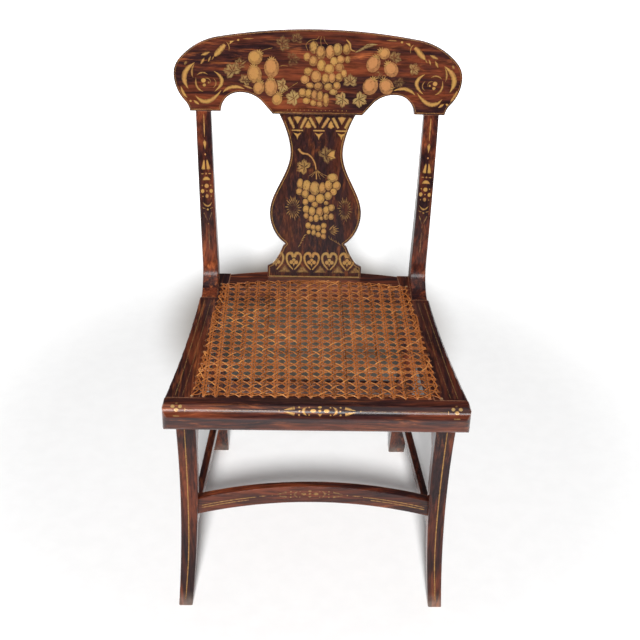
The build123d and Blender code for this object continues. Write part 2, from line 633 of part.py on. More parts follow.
def make_crest_rail():
    block_half = SPLAT_HEAD_HALF + BLOCK_OVERHANG
    pad_inner = STILE_TOP_MIDDLE - PAD_INNER
    pad_outer = STILE_TOP_MIDDLE + PAD_OUTER
    brow_end = (CREST_HALF - CREST_BROW_SET_IN, CREST_RISE - CREST_BROW_DROP)
    shoulder_end = (CREST_HALF - CREST_SHOULDER_SET_IN, CREST_RISE - CREST_SHOULDER_DROP)
    cheek_end = (CREST_HALF, CREST_RISE - CREST_CHEEK_DROP)
    jowl_end = (CREST_HALF - CREST_JOWL_SET_IN, PAD_DROP + CREST_JOWL_RISE)
    arch_crown = (pad_inner - ARCH_WIDTH, PAD_DROP + ARCH_RISE)
    arch_foot = (block_half + BLOCK_FLARE, BLOCK_FLARE_RISE)
    with BuildPart() as crest:
        face_plane = Plane(
            (0, y_at(CREST_DEPTH), CREST_HEIGHT),
            x_dir=(1, 0, 0),
            z_dir=(0, -cos(LEAN), sin(LEAN)),
        )
        with BuildSketch(face_plane):
            with BuildLine() as outline:
                brow = TangentArc((0, CREST_RISE), brow_end, tangent=(1, 0))
                shoulder = TangentArc(brow @ 1, shoulder_end, tangent=brow % 1)
                cheek = TangentArc(shoulder @ 1, cheek_end, tangent=shoulder % 1)
                jowl = TangentArc(cheek @ 1, jowl_end, tangent=cheek % 1)
                flare = TangentArc(jowl @ 1, (pad_outer, PAD_DROP), tangent=jowl % 1)
                pad = Line(flare @ 1, (pad_inner, PAD_DROP))
                rise = TangentArc(pad @ 1, arch_crown, tangent=(0, 1))
                fall = TangentArc(rise @ 1, arch_foot, tangent=rise % 1)
                Polyline(fall @ 1, (block_half, 0), (0, 0))
                mirror(outline.line, about=Plane.YZ)
            make_face()
        extrude(amount=2 * CREST_THICKNESS, both=True)
        with BuildSketch(crest_plane(-OVERRUN)):
            with BuildLine():
                wide = CREST_HALF + OVERRUN
                back = CREST_THICKNESS
                ThreePointArc((-wide, -CREST_BOW), (0, 0), (wide, -CREST_BOW))
                Line((wide, -CREST_BOW), (wide, back - CREST_BOW))
                ThreePointArc((wide, back - CREST_BOW), (0, back), (-wide, back - CREST_BOW))
                Line((-wide, back - CREST_BOW), (-wide, -CREST_BOW))
            make_face()
        extrude(amount=CREST_RISE + 2 * OVERRUN, mode=Mode.INTERSECT)
        broad_faces = crest.faces().sort_by(SortBy.AREA)[-2:]
        fillet(broad_faces.edges(), CREST_EDGE_ROUND)
        mortise(STILE_TENON)
        mortise(mirror_joint(STILE_TENON))
        mortise(SPLAT_HEAD_TENON)
        for joint in (STILE_TENON, mirror_joint(STILE_TENON)):
            rod(pin_plane(joint), PIN_RADIUS + FIT, PIN_LENGTH + TIP_GAP, Mode.SUBTRACT)
    return crest


def pin_plane(joint):
    """Start of the pin through a stile's tenon, on the back of the crest."""
    shoulder = joint[0]
    behind = CREST_THICKNESS / 2
    return Plane(
        shoulder.origin + shoulder.z_dir * PIN_LEVEL + Vector(0, cos(LEAN), -sin(LEAN)) * behind,
        x_dir=(1, 0, 0),
        z_dir=(0, -cos(LEAN), sin(LEAN)),
    )


def make_stile():
    scoop_centre = (STILE_SCOOP_DEPTH, SEAT_HEIGHT + STILE_SCOOP_RADIUS)
    lean = radians(STILE_SCOOP_LEAN)
    scoop_top = (
        y_at(scoop_centre[0] + STILE_SCOOP_RADIUS * cos(lean)),
        scoop_centre[1] - STILE_SCOOP_RADIUS * sin(lean),
    )
    half = STILE_TOP_THICKNESS / 2
    top = STILE_SHOULDER.origin + STILE_SHOULDER.z_dir * half
    top_front = (top.Y - half * cos(LEAN), top.Z + half * sin(LEAN))
    top_back = (top.Y + half * cos(LEAN), top.Z - half * sin(LEAN))
    with BuildPart() as stile:
        with BuildSketch(Plane.YZ):
            with BuildLine():
                Polyline(
                    (y_at(SEAT_DEPTH), SEAT_HEIGHT),
                    (y_at(SEAT_DEPTH), LAP_BOTTOM),
                    (y_at(STILE_FOOT_FRONT_DEPTH), LAP_BOTTOM),
                    (y_at(STILE_FOOT_FRONT_DEPTH), SEAT_HEIGHT),
                    (y_at(STILE_SCOOP_DEPTH), SEAT_HEIGHT),
                )
                scoop = TangentArc((y_at(STILE_SCOOP_DEPTH), SEAT_HEIGHT), scoop_top, tangent=(1, 0))
                front = TangentArc(scoop @ 1, top_front, tangent=(sin(lean), cos(lean)))
                Line(front @ 1, top_back)
                back_foot = (y_at(SEAT_DEPTH), SEAT_HEIGHT)
                SagittaArc(top_back, back_foot, -STILE_BACK_HOLLOW)
            make_face()
        extrude(amount=CREST_HALF)
        with BuildSketch(Plane.XZ.offset(-y_at(STILE_FOOT_FRONT_DEPTH))):
            splay_level = SEAT_HEIGHT + STILE_UPRIGHT
            top_level = STILE_SHOULDER.origin.Z
            above = 2 * STILE_TOP_THICKNESS
            drift = (STILE_TOP_HALF - SEAT_REAR_HALF) / (top_level - splay_level) * above
            Polygon(
                (SEAT_REAR_HALF, LAP_BOTTOM),
                (SEAT_REAR_HALF, splay_level),
                (STILE_TOP_HALF + drift, top_level + above),
                (STILE_TOP_HALF + drift - STILE_TOP_WIDTH, top_level + above),
                (SEAT_REAR_HALF - STILE_FOOT_WIDTH, splay_level),
                (SEAT_REAR_HALF - STILE_FOOT_WIDTH, LAP_BOTTOM),
                align=None,
            )
        extrude(amount=-CHAIR_DEPTH, mode=Mode.INTERSECT)
        corners = stile.edges().filter_by_position(Axis.Z, SEAT_HEIGHT + EDGE_START, 2 * SEAT_HEIGHT)
        corners -= corners.filter_by(Axis.X) + corners.filter_by(Axis.Y)
        fillet(corners, STILE_EDGE_ROUND)
        split(bisect_by=STILE_SHOULDER, keep=Keep.BOTTOM)
        tenon(STILE_TENON)
        mortise(REAR_LEG_TENON)
        for depth in SCREW_DEPTHS:
            screw(depth, FIT, Mode.SUBTRACT)
        rod(pin_plane(STILE_TENON), PIN_RADIUS + FIT, PIN_LENGTH + TIP_GAP, Mode.SUBTRACT)
    return stile


SPLAT_HEAD_DEPTH = CREST_DEPTH + (CREST_THICKNESS - SPLAT_THICKNESS) / 2 * cos(LEAN)
SPLAT_RUN = SPLAT_HEAD_DEPTH - SPLAT_FOOT_DEPTH
SPLAT_CLIMB = CREST_HEIGHT - SEAT_HEIGHT
SPLAT_LENGTH = (SPLAT_RUN**2 + SPLAT_CLIMB**2) ** 0.5
SPLAT_UP = (0, SPLAT_RUN / SPLAT_LENGTH, SPLAT_CLIMB / SPLAT_LENGTH)
SPLAT_FORWARD = (0, -SPLAT_CLIMB / SPLAT_LENGTH, SPLAT_RUN / SPLAT_LENGTH)


def splat_plane(level):
    """Plane across the splat's middle thickness at a height along it."""
    return Plane(
        (
            0,
            y_at(SPLAT_FOOT_DEPTH) + level * SPLAT_UP[1] - SPLAT_THICKNESS / 2 * SPLAT_FORWARD[1],
            SEAT_HEIGHT + level * SPLAT_UP[2] - SPLAT_THICKNESS / 2 * SPLAT_FORWARD[2],
        ),
        x_dir=(1, 0, 0),
        z_dir=SPLAT_UP,
    )


SPLAT_HEAD_TENON = (
    splat_plane(SPLAT_LENGTH - SPLAT_TENON_LENGTH),
    2 * (SPLAT_HEAD_HALF - SPLAT_TENON_MARGIN),
    SPLAT_TENON_THICKNESS,
    2 * SPLAT_TENON_LENGTH,
)
SPLAT_FOOT_TENON = (
    Plane(splat_plane(SPLAT_TENON_LENGTH).origin, x_dir=(1, 0, 0), z_dir=tuple(-n for n in SPLAT_UP)),
    2 * (SPLAT_FOOT_HALF - SPLAT_TENON_MARGIN),
    SPLAT_TENON_THICKNESS,
    2 * SPLAT_TENON_LENGTH,
)


def make_splat():
    """A vase between an eared foot block and the crest rail."""
    with BuildPart() as splat:
        face_plane = Plane(
            (0, y_at(SPLAT_FOOT_DEPTH), SEAT_HEIGHT), x_dir=(1, 0, 0), z_dir=SPLAT_FORWARD
        )
        with BuildSketch(face_plane):
            with BuildLine() as outline:
                ear = (SPLAT_FOOT_HALF - SPLAT_EAR_STEP, SPLAT_EAR_LEVEL + SPLAT_EAR_STEP / 2)
                neck_level = SPLAT_PINCH_LEVEL - SPLAT_EAR_STEP / 2
                neck = (SPLAT_PINCH_HALF + SPLAT_EAR_STEP / 2, neck_level)
                Polyline(
                    (0, -SPLAT_THICKNESS),
                    (SPLAT_FOOT_HALF, -SPLAT_THICKNESS),
                    (SPLAT_FOOT_HALF, SPLAT_EAR_LEVEL),
                    ear,
                )
                hollow_half = (ear[0] + neck[0]) / 2 - SPLAT_HOLLOW
                hollow = ThreePointArc(ear, (hollow_half, (ear[1] + neck[1]) / 2), neck)
                Line(hollow @ 1, (SPLAT_PINCH_HALF, SPLAT_PINCH_LEVEL))
                waist_level = SPLAT_LENGTH - SPLAT_WAIST_DROP
                Spline(
                    (SPLAT_PINCH_HALF, SPLAT_PINCH_LEVEL),
                    (SPLAT_BELLY_HALF - SPLAT_JOWL_SET_IN, (SPLAT_PINCH_LEVEL + SPLAT_BELLY_LEVEL) / 2),
                    (SPLAT_BELLY_HALF, SPLAT_BELLY_LEVEL),
                    ((SPLAT_BELLY_HALF + SPLAT_WAIST_HALF) / 2, (SPLAT_BELLY_LEVEL + waist_level) / 2),
                    (SPLAT_WAIST_HALF, waist_level),
                    (SPLAT_WAIST_HALF + SPLAT_FLARE_STEP, SPLAT_LENGTH - SPLAT_FLARE_DROP),
                    (SPLAT_HEAD_HALF, SPLAT_LENGTH),
                )
                Polyline(
                    (SPLAT_HEAD_HALF, SPLAT_LENGTH),
                    (SPLAT_HEAD_HALF, SPLAT_LENGTH + SPLAT_TENON_LENGTH),
                    (0, SPLAT_LENGTH + SPLAT_TENON_LENGTH),
                )
                mirror(outline.line, about=Plane.YZ)
            make_face()
        extrude(amount=-SPLAT_THICKNESS)
        broad_faces = splat.faces().sort_by(SortBy.AREA)[-2:]
        chamfer(broad_faces.edges(), SPLAT_EDGE_BEVEL)
        split(bisect_by=crest_plane(), keep=Keep.BOTTOM)
        split(bisect_by=Plane.XY.offset(SEAT_HEIGHT), keep=Keep.TOP)
        tenon(SPLAT_HEAD_TENON)
        tenon(SPLAT_FOOT_TENON)
    return splat


# --- legs and stretchers


def make_front_leg():
    with BuildPart() as leg:
        with BuildSketch(Plane.YZ) as side:
            with BuildLine():
                top = (y_at(FRONT_LEG_TOP_DEPTH), RAIL_BOTTOM)
                calf = (y_at(FRONT_LEG_CALF_DEPTH), FRONT_LEG_CALF_HEIGHT)
                toe = (y_at(FRONT_FOOT_DEPTH), 0)
                shin = ThreePointArc(top, calf, toe)
                heel = (toe[0] + FRONT_FOOT_THICKNESS, 0)
                knee_front = shin @ (FRONT_KNEE_DROP / RAIL_BOTTOM)
                knee = (knee_front.X + FRONT_LEG_THICKNESS, RAIL_BOTTOM - FRONT_KNEE_DROP)
                knee_back = (y_at(FRONT_KNEE_BACK_DEPTH), RAIL_BOTTOM)
                Line(toe, heel)
                ThreePointArc(heel, (calf[0] + FRONT_LEG_THICKNESS, calf[1]), knee)
                SagittaArc(knee, knee_back, -FRONT_KNEE_HOLLOW)
                Line(knee_back, top)
            make_face()
            back_of_knee = side.vertices().sort_by_distance(Vertex(*knee, 0))[0]
            fillet(back_of_knee, FRONT_KNEE_ROUND)
        extrude(amount=CREST_HALF)
        with BuildSketch(Plane.XZ.offset(-y_at(0))):
            with BuildLine():
                outer = ThreePointArc(
                    (FRONT_LEG_TOP_HALF, RAIL_BOTTOM),
                    (FRONT_LEG_CALF_HALF, FRONT_LEG_CALF_HEIGHT),
                    (FRONT_FOOT_HALF, 0),
                )
                inner = ThreePointArc(
                    (FRONT_FOOT_HALF - FRONT_FOOT_WIDTH, 0),
                    (FRONT_LEG_CALF_HALF - FRONT_LEG_CALF_WIDTH, FRONT_LEG_CALF_HEIGHT),
                    (FRONT_LEG_TOP_HALF - FRONT_LEG_TOP_WIDTH, RAIL_BOTTOM),
                )
                Line(outer @ 1, inner @ 0)
                Line(inner @ 1, outer @ 0)
            make_face()
        extrude(amount=-CHAIR_DEPTH, mode=Mode.INTERSECT)
        long_edges = leg.edges().filter_by(lambda edge: edge.length > RAIL_BOTTOM / 2)
        fillet(long_edges, LEG_EDGE_ROUND)
        tenon(FRONT_LEG_TENON)
        front_stretcher_body(FIT, Mode.SUBTRACT)
        side_stretcher_body(FIT, Mode.SUBTRACT)
    return leg


def make_rear_leg():
    with BuildPart() as leg:
        with BuildSketch(Plane.YZ):
            with BuildLine():
                front = Spline(
                    (y_at(REAR_LEG_TOP_DEPTH), REAR_RAIL_BOTTOM),
                    (y_at(REAR_LEG_CALF_DEPTH), REAR_LEG_CALF_HEIGHT),
                    (y_at(REAR_FOOT_DEPTH), 0),
                )
                back = Spline(
                    (y_at(REAR_FOOT_DEPTH + REAR_FOOT_THICKNESS), 0),
                    (y_at(REAR_LEG_CALF_DEPTH + REAR_LEG_CALF_THICKNESS), REAR_LEG_CALF_HEIGHT),
                    (y_at(REAR_LEG_TOP_DEPTH + REAR_LEG_TOP_THICKNESS), REAR_RAIL_BOTTOM),
                )
                Line(front @ 1, back @ 0)
                Line(back @ 1, front @ 0)
            make_face()
        extrude(amount=REAR_LEG_OUTER_HALF)
        with BuildSketch(Plane.XZ.offset(-y_at(REAR_LEG_TOP_DEPTH))):
            with Locations((REAR_LEG_OUTER_HALF, 0)):
                Rectangle(REAR_LEG_WIDTH, REAR_RAIL_BOTTOM, align=(Align.MAX, Align.MIN))
        extrude(amount=-CHAIR_DEPTH, mode=Mode.INTERSECT)
        long_edges = leg.edges().filter_by(lambda edge: edge.length > REAR_RAIL_BOTTOM / 2)
        fillet(long_edges, LEG_EDGE_ROUND)
        tenon(REAR_LEG_TENON)
        side_stretcher_body(FIT, Mode.SUBTRACT)
        rear_stretcher_body(FIT, Mode.SUBTRACT)
    return leg


def front_stretcher_body(extra=0.0, mode=Mode.ADD):
    """A board that bows upward, let into both front legs."""
    reach = FRONT_LEG_CALF_HALF - FRONT_LEG_CALF_WIDTH + HOUSING + extra
    half = FRONT_STRETCHER_HEIGHT / 2 + extra
    low = FRONT_STRETCHER_LEVEL
    high = low + FRONT_STRETCHER_RISE
    middle_depth = FRONT_LEG_CALF_DEPTH + FRONT_STRETCHER_SET_IN
    with BuildSketch(Plane.XZ.offset(-y_at(middle_depth))) as board:
        with BuildLine():
            Spline((-reach, low + half), (0, high + half), (reach, low + half))
            Line((reach, low + half), (reach, low - half))
            Spline((reach, low - half), (0, high - half), (-reach, low - half))
            Line((-reach, low - half), (-reach, low + half))
        make_face()
    thickness = FRONT_STRETCHER_THICKNESS / 2 + extra
    extrude(board.sketch, amount=thickness, both=True, mode=mode)


def side_stretcher_body(extra=0.0, mode=Mode.ADD):
    """A straight bar that runs down and in from the front leg to the rear leg."""
    front = Vector(
        FRONT_LEG_CALF_HALF - FRONT_LEG_CALF_WIDTH / 2 - SIDE_STRETCHER_OFFSET,
        y_at(FRONT_LEG_CALF_DEPTH + FRONT_LEG_THICKNESS),
        SIDE_STRETCHER_FRONT_LEVEL,
    )
    rear = Vector(
        REAR_LEG_OUTER_HALF - REAR_LEG_WIDTH / 2,
        y_at(rear_leg_middle_depth(SIDE_STRETCHER_REAR_LEVEL) - REAR_LEG_CALF_THICKNESS / 2),
        SIDE_STRETCHER_REAR_LEVEL,
    )
    along = (rear - front).normalized()
    start = Plane(front - along * (HOUSING + extra), x_dir=(1, 0, 0), z_dir=along)
    length = (rear - front).length + 2 * (HOUSING + extra)
    width = SIDE_STRETCHER_WIDTH + 2 * extra
    height = SIDE_STRETCHER_HEIGHT + 2 * extra
    block(start, width, height, length, mode)


def rear_stretcher_body(extra=0.0, mode=Mode.ADD):
    """A straight bar between the rear legs."""
    reach = REAR_LEG_OUTER_HALF - REAR_LEG_WIDTH + HOUSING + extra
    middle_depth = rear_leg_middle_depth(REAR_STRETCHER_LEVEL)
    start = Plane(
        (-reach, y_at(middle_depth), REAR_STRETCHER_LEVEL), x_dir=(0, 1, 0), z_dir=(1, 0, 0)
    )
    width = REAR_STRETCHER_THICKNESS + 2 * extra
    height = REAR_STRETCHER_HEIGHT + 2 * extra
    block(start, width, height, 2 * reach, mode)


def rear_leg_middle_depth(height):
    """Middle of the rear leg's thickness between its calf and its foot."""
    share = 1 - height / REAR_LEG_CALF_HEIGHT
    calf = REAR_LEG_CALF_DEPTH + REAR_LEG_CALF_THICKNESS / 2
    foot = REAR_FOOT_DEPTH + REAR_FOOT_THICKNESS / 2
    return calf + (foot - calf) * share


def make_bar(body, edge_count):
    with BuildPart() as bar:
        body()
        fillet(bar.edges().sort_by(SortBy.LENGTH)[-edge_count:], STRETCHER_EDGE_ROUND)
    return bar


# --- fastenings


def make_stile_screws():
    with BuildPart() as screws:
        for depth in SCREW_DEPTHS:
            screw(depth)
        mirror(screws.part, about=Plane.YZ)
    return screws


def make_crest_pins():
    with BuildPart() as pins:
        for joint in (STILE_TENON, mirror_joint(STILE_TENON)):
            rod(pin_plane(joint), PIN_RADIUS, PIN_LENGTH)
    return pins


def other_side(piece):
    with BuildPart() as twin:
        mirror(piece.part, about=Plane.YZ)
    return twin


def export(name, piece):
    piece.part.label = name
    export_step(piece.part, f"parts/{name}.step")


os.makedirs("parts", exist_ok=True)

single_pieces = {
    "crest_rail": make_crest_rail(),
    "splat": make_splat(),
    "seat_rail_front": make_front_rail(),
    "seat_rail_rear": make_rear_rail(),
    "front_stretcher": make_bar(front_stretcher_body, 4),
    "rear_stretcher": make_bar(rear_stretcher_body, 4),
    "cane_square_weave": make_square_weave(),
    "cane_strand_ends": make_strand_ends(),
    "cane_diagonals_lower": make_diagonals(45, 0),
    "cane_diagonals_upper": make_diagonals(-45, 1),
    "cane_pegs": make_cane_pegs(),
    "stile_screws": make_stile_screws(),
    "crest_pins": make_crest_pins(),
}
for name, piece in single_pieces.items():
    export(name, piece)

paired_pieces = {
    "stile": make_stile(),
    "seat_rail": make_side_rail(),
    "front_leg": make_front_leg(),
    "rear_leg": make_rear_leg(),
    "side_stretcher": make_bar(side_stretcher_body, 4),
}
for name, piece in paired_pieces.items():
    export(f"{name}_left", piece)
    export(f"{name}_right", other_side(piece))
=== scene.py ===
"""A stenciled side chair: grained and varnished paint, bronze stencils and a hand-woven cane seat."""

import random
from math import atan2, copysign, cos, degrees, hypot, pi, radians, sin, sqrt

import bpy
from bpy.props import FloatProperty, FloatVectorProperty, PointerProperty
from mathutils import Matrix, Vector
from mathutils.bvhtree import BVHTree


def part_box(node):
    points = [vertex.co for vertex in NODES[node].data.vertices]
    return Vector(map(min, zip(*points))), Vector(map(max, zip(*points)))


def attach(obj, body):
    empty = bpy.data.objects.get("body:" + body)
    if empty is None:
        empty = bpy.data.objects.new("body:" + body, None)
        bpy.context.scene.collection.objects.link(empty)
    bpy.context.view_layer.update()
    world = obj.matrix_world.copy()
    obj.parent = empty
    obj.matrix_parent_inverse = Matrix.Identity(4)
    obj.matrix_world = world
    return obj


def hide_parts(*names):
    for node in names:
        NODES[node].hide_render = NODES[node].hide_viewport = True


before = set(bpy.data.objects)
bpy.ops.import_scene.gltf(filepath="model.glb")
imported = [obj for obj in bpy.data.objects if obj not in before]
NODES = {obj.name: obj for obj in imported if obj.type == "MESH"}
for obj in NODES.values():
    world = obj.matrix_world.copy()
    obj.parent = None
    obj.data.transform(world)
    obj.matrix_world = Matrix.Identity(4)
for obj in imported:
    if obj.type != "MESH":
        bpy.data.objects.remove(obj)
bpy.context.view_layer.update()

bl_info = {
    "name": "Stenciled side chair",
    "version": (1, 0, 0),
    "blender": (4, 5, 0),
    "location": "3D View > Sidebar > Chair",
    "description": "Finishes a cane-seated side chair: grained paint, bronze stencils and woven cane",
    "category": "Add Mesh",
}

MM = 0.001
SIDES = ((1, "left"), (-1, "right"))

# The seat, in millimetres. X is to the sitter's left, depth runs back from the front of the seat.
FRONT_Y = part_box("seat_rail_front")[0][1] / MM
SEAT_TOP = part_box("seat_rail_left")[1][2] / MM
CELL = 17.4
CANE_FRONT = 35.0
CANE_REAR = 376.0
CANE_FRONT_HALF = 182.7
CANE_REAR_HALF = 158.5
CANE_BOW = 17.0
COLUMNS = [(number - 10.5) * CELL for number in range(22)]
ROWS = [CANE_FRONT + CELL * (number + 1) for number in range(19)]

# A strand lies this far above the rails. It turns down into a hole by shares of a run, each with its drop.
CANE_LIFT = 1.1
DIP_RUN = 1.6
DIP = ((-0.5, 6.0), (-0.25, 2.0), (0.5, 0.3), (1.5, 0.0))
SCAN = 0.5  # step in search of a diagonal's ends
PAIR_STEP = 1.6  # between the points of a woven strand
DIAGONAL_STEP = 2.2
PAIR_EASE = 0.55  # of a cell, in which the strands of a pair draw together before their hole
PAIR_DRAWN = 0.3  # of their spacing, at the hole

# The faces that carry stencils, in millimetres.
CREST_TILT = 16.0  # degrees from upright
CREST_DEPTH = 468.0
CREST_LEVEL = 710.0
SPLAT_DEPTH = 405.0
SPLAT_RUN = 67.3
SPLAT_CLIMB = 274.0
STILE_TOP_MIDDLE = 188.4
STILE_FOOT_MIDDLE = 177.5
STILE_LEAN = 66.0
STILE_CLIMB = 255.0
STRETCHER_DEPTH = 62.0
STRETCHER_LEVEL = 204.0
STRETCHER_RISE = 29.0
STRETCHER_HALF = 193.0

# Stencil films. A level counts in thicknesses of the film: each shape lies one LAYER over the shape before,
# and its walls end in the wood, at SUNK.
LAYER = 0.003
SUNK = -1.2
LOOK_FROM = 60 * MM  # how far off the wood its face is looked for
EDGE_STEP = 0.4  # millimetres by which a shape off the edge moves inward at a time
EDGE_STEPS = 40
THINNEST = 0.12  # half the width of the finest line
BERRY_RING = 1.18  # a berry's dark line, against the berry
BRIGHT = (0.5, 1.0)

# How the outline of a painted face is found.
FACING = -0.9  # a flat belongs to the front if its normal meets the look at least so squarely
BEHIND = 0.3 * MM  # a flat this far behind the front isn't seen
CORNER_GRID = MM / 23.7  # corners in the same cell of this grid are one corner
SMALL_HOLE = 100.0  # millimetres round a hole that gets no line

GRAIN_STRETCH = 0.09  # the graining's scale along the grain
SPLAT_REDNESS = 0.45  # the darkest of the paints
FLOOR_LIGHT = 15.0  # strength of the lamp that lights only the floor
FLOOR_HALF = 9.0  # metres from the middle of the floor to its edges

# Each paint is (name, axis of the grain, redness, gloss, pieces).
ACROSS = ("crest_rail", "seat_rail_front", "seat_rail_rear", "front_stretcher", "rear_stretcher")
FORE_AND_AFT = [kind + name for kind in ("seat_rail_", "side_stretcher_") for _, name in SIDES]
UPRIGHT = [kind + name for kind in ("stile_", "front_leg_", "rear_leg_") for _, name in SIDES]
PAINTS = (
    ("grained_across", 0, 1.0, 0.5, ACROSS),
    ("grained_back", 1, 0.7, 0.4, FORE_AND_AFT),
    # The uprights' higher redness is partly a painted sheen: it brightens the stiles and legs as their sheen
    # does.
    ("grained_upright", 2, 1.1, 0.25, UPRIGHT),
    ("grained_splat", 2, SPLAT_REDNESS, 0.5, ("splat",)),
)


# ---------------------------------------------------------------------------------------------
# Sizes and colours a user would change


def length(name, description, default):
    return FloatProperty(name=name, description=description, default=default * MM, min=0.0, unit="LENGTH")


def tint(name, description, *default):
    return FloatVectorProperty(
        name=name, description=description, default=default, size=3, min=0.0, max=1.0, subtype="COLOR")


def share(name, description, default):
    return FloatProperty(name=name, description=description, default=default, min=0.0, subtype="FACTOR")


class ChairPaint(bpy.types.PropertyGroup):
    ground: tint("Ground", "Purple-black ground coat", 0.026, 0.009, 0.01)
    figure: tint("Figure", "Red-brown of the rosewood graining", 0.19, 0.042, 0.016)
    streak: tint("Streak", "Bright red streaks in the graining", 0.46, 0.13, 0.04)
    rubbed: tint("Rubbed edge", "Worn bronze line along the edges", 0.4, 0.19, 0.11)
    scuff: tint("Scuff", "Dusty grey-brown of knocks and bare feet", 0.42, 0.33, 0.27)
    edge_width: length("Edge width", "Width of the rubbed line along each edge", 2.2)
    wear: share("Wear", "How much of the rubbed line shows", 0.75)


class ChairCane(bpy.types.PropertyGroup):
    colour: tint("Cane", "Varnished and darkened split rattan", 0.38, 0.115, 0.028)
    worn: tint("Worn cane", "Pale tops of the strands", 0.66, 0.27, 0.075)
    strand_width: length("Strand width", "Width of one strand", 2.7)
    diagonal_width: length("Diagonal width", "Width of one diagonal strand", 2.4)
    strand_thickness: length("Strand thickness", "Thickness of one strand", 0.7)
    pair_gap: length("Pair spacing", "Between the middles of the two strands of a pair", 3.9)
    pair_wave: length("Pair wave", "How far a pair's strand rises at a crossing", 0.4)
    diagonal_wave: length("Diagonal wave", "How far a diagonal rises over a pair", 0.75)


class ChairStencil(bpy.types.PropertyGroup):
    gold: tint("Gold", "Pale gold bronze powder", 0.52, 0.285, 0.075)
    copper: tint("Copper", "Reddish bronze powder of the fruit", 0.5, 0.22, 0.08)
    pale: tint("Pale", "Greenish bronze powder of the leaves", 0.33, 0.27, 0.12)
    shade: tint("Shade", "Thin bronze over the dark ground", 0.13, 0.06, 0.025)
    film: length("Film", "How proud the bronze and size stand", 0.12)
    wear: share("Wear", "How much of the bronze is scratched away", 0.7)


class ChairStage(bpy.types.PropertyGroup):
    floor: tint("Floor", "Pale floor", 0.93, 0.93, 0.93)
    # The floor's shade is a painted shadow colour: the floor is darkened to it under and behind the seat.
    shade: tint("Shade", "Floor in the shade under and behind the seat", 0.2, 0.165, 0.13)
    window: share("Window light", "Strength of the large soft light in front", 1.0)


# ---------------------------------------------------------------------------------------------
# Node trees


class Value:
    """A value in a node tree. Sums written on it add nodes to its tree."""

    def __init__(self, tree, socket):
        self.tree, self.socket = tree, socket

    def maths(self, operation, *others, **settings):
        return put(self.tree, "ShaderNodeMath", (self, *others), operation=operation, **settings)

    def __add__(self, other):
        return self.maths("ADD", other)

    def __sub__(self, other):
        return self.maths("SUBTRACT", other)

    def __rsub__(self, other):
        return put(self.tree, "ShaderNodeMath", (other, self), operation="SUBTRACT")

    def __mul__(self, other):
        return self.maths("MULTIPLY", other)

    def __truediv__(self, other):
        return self.maths("DIVIDE", other)

    def vector(self, operation, *others, pick=0):
        return put(self.tree, "ShaderNodeVectorMath", (self, *others), pick, operation=operation)

    def graded(self, low, high, bottom=0.0, top=1.0):
        """Eased from bottom, where this is low, to top, where it is high."""
        ends = {"Value": self, "From Min": low, "From Max": high, "To Min": bottom, "To Max": top}
        return put(self.tree, "ShaderNodeMapRange", ends, interpolation_type="SMOOTHSTEP")

    def noise(self, scale, detail=3.0, roughness=0.55, distortion=0.0):
        """A noise at this place."""
        look = {"Scale": scale, "Detail": detail, "Roughness": roughness, "Distortion": distortion}
        return put(self.tree, "ShaderNodeTexNoise", {"Vector": self, **look})

    def mix(self, first, second):
        """From the first colour to the second as this goes from 0 to 1."""
        return put(self.tree, "ShaderNodeMix", {0: self, 6: first, 7: second}, 2, data_type="RGBA")

    def darken(self, colour):
        """A colour times this."""
        grey = put(self.tree, "ShaderNodeCombineColor", (self, self, self))
        sockets = {0: 1.0, 6: colour, 7: grey}
        return put(self.tree, "ShaderNodeMix", sockets, 2, data_type="RGBA", blend_type="MULTIPLY")


def put(tree, kind, inputs=(), pick=0, **settings):
    """Adds a node, sets or links its inputs, and gives one of its outputs, or all by name if pick is None."""
    node = tree.nodes.new(kind)
    for name, value in settings.items():
        setattr(node, name, value)
    for key, value in inputs.items() if isinstance(inputs, dict) else enumerate(inputs):
        if isinstance(key, int):
            socket = node.inputs[key]
        else:
            socket = next(s for s in node.inputs if key in (s.name, s.identifier) and s.enabled)
        if isinstance(value, Value):
            tree.links.new(value.socket, socket)
        else:
            socket.default_value = (*value, 1.0) if socket.type == "RGBA" else value
    if pick is None:
        return {socket.name: Value(tree, socket) for socket in node.outputs}
    return Value(tree, node.outputs[pick]) if node.outputs else None


def add_sockets(tree, way, sockets):
    for name, kind in sockets.items():
        tree.interface.new_socket(name, in_out=way, socket_type="NodeSocket" + kind)


def new_material(name):
    material = bpy.data.materials.new(name)
    material.use_nodes = True
    material.node_tree.nodes.clear()
    return material, material.node_tree


def close_material(tree, sockets, relief=None):
    """Ends a material. The relief is (height, strength, depth in millimetres)."""
    if relief:
        height, strength, depth = relief
        bump = {"Height": height, "Strength": strength, "Distance": depth * MM}
        sockets = {**sockets, "Normal": put(tree, "ShaderNodeBump", bump)}
    put(tree, "ShaderNodeOutputMaterial", {"Surface": put(tree, "ShaderNodeBsdfPrincipled", sockets)})


def object_place(tree):
    return put(tree, "ShaderNodeTexCoord", pick="Object")


def object_coordinates(tree, scale=(1.0, 1.0, 1.0)):
    return put(tree, "ShaderNodeMapping", {"Vector": object_place(tree), "Scale": scale})


def attribute(tree, name):
    return put(tree, "ShaderNodeAttribute", pick="Fac", attribute_name=name)


# ---------------------------------------------------------------------------------------------
# Effects that several finishes share


def graining(given):
    """Rosewood graining: dark bands and red streaks along the axis in which the material draws it out."""
    vector = given["Vector"]
    bands = vector.noise(34.0, 5.0, 0.65, 0.5).graded(0.4, 0.68)
    streaks = vector.noise(110.0, 5.0, 0.7, 0.4).graded(0.5, 0.72) * vector.noise(9.0, 2.0).graded(0.38, 0.62)
    lines = vector.noise(300.0, 2.0, 0.5).graded(0.35, 0.6)
    colour = streaks.mix(bands.mix(given["Ground"], given["Figure"]), given["Streak"])
    return {"Color": lines.maths("MULTIPLY_ADD", 0.5, 0.55).darken(colour), "Height": lines}


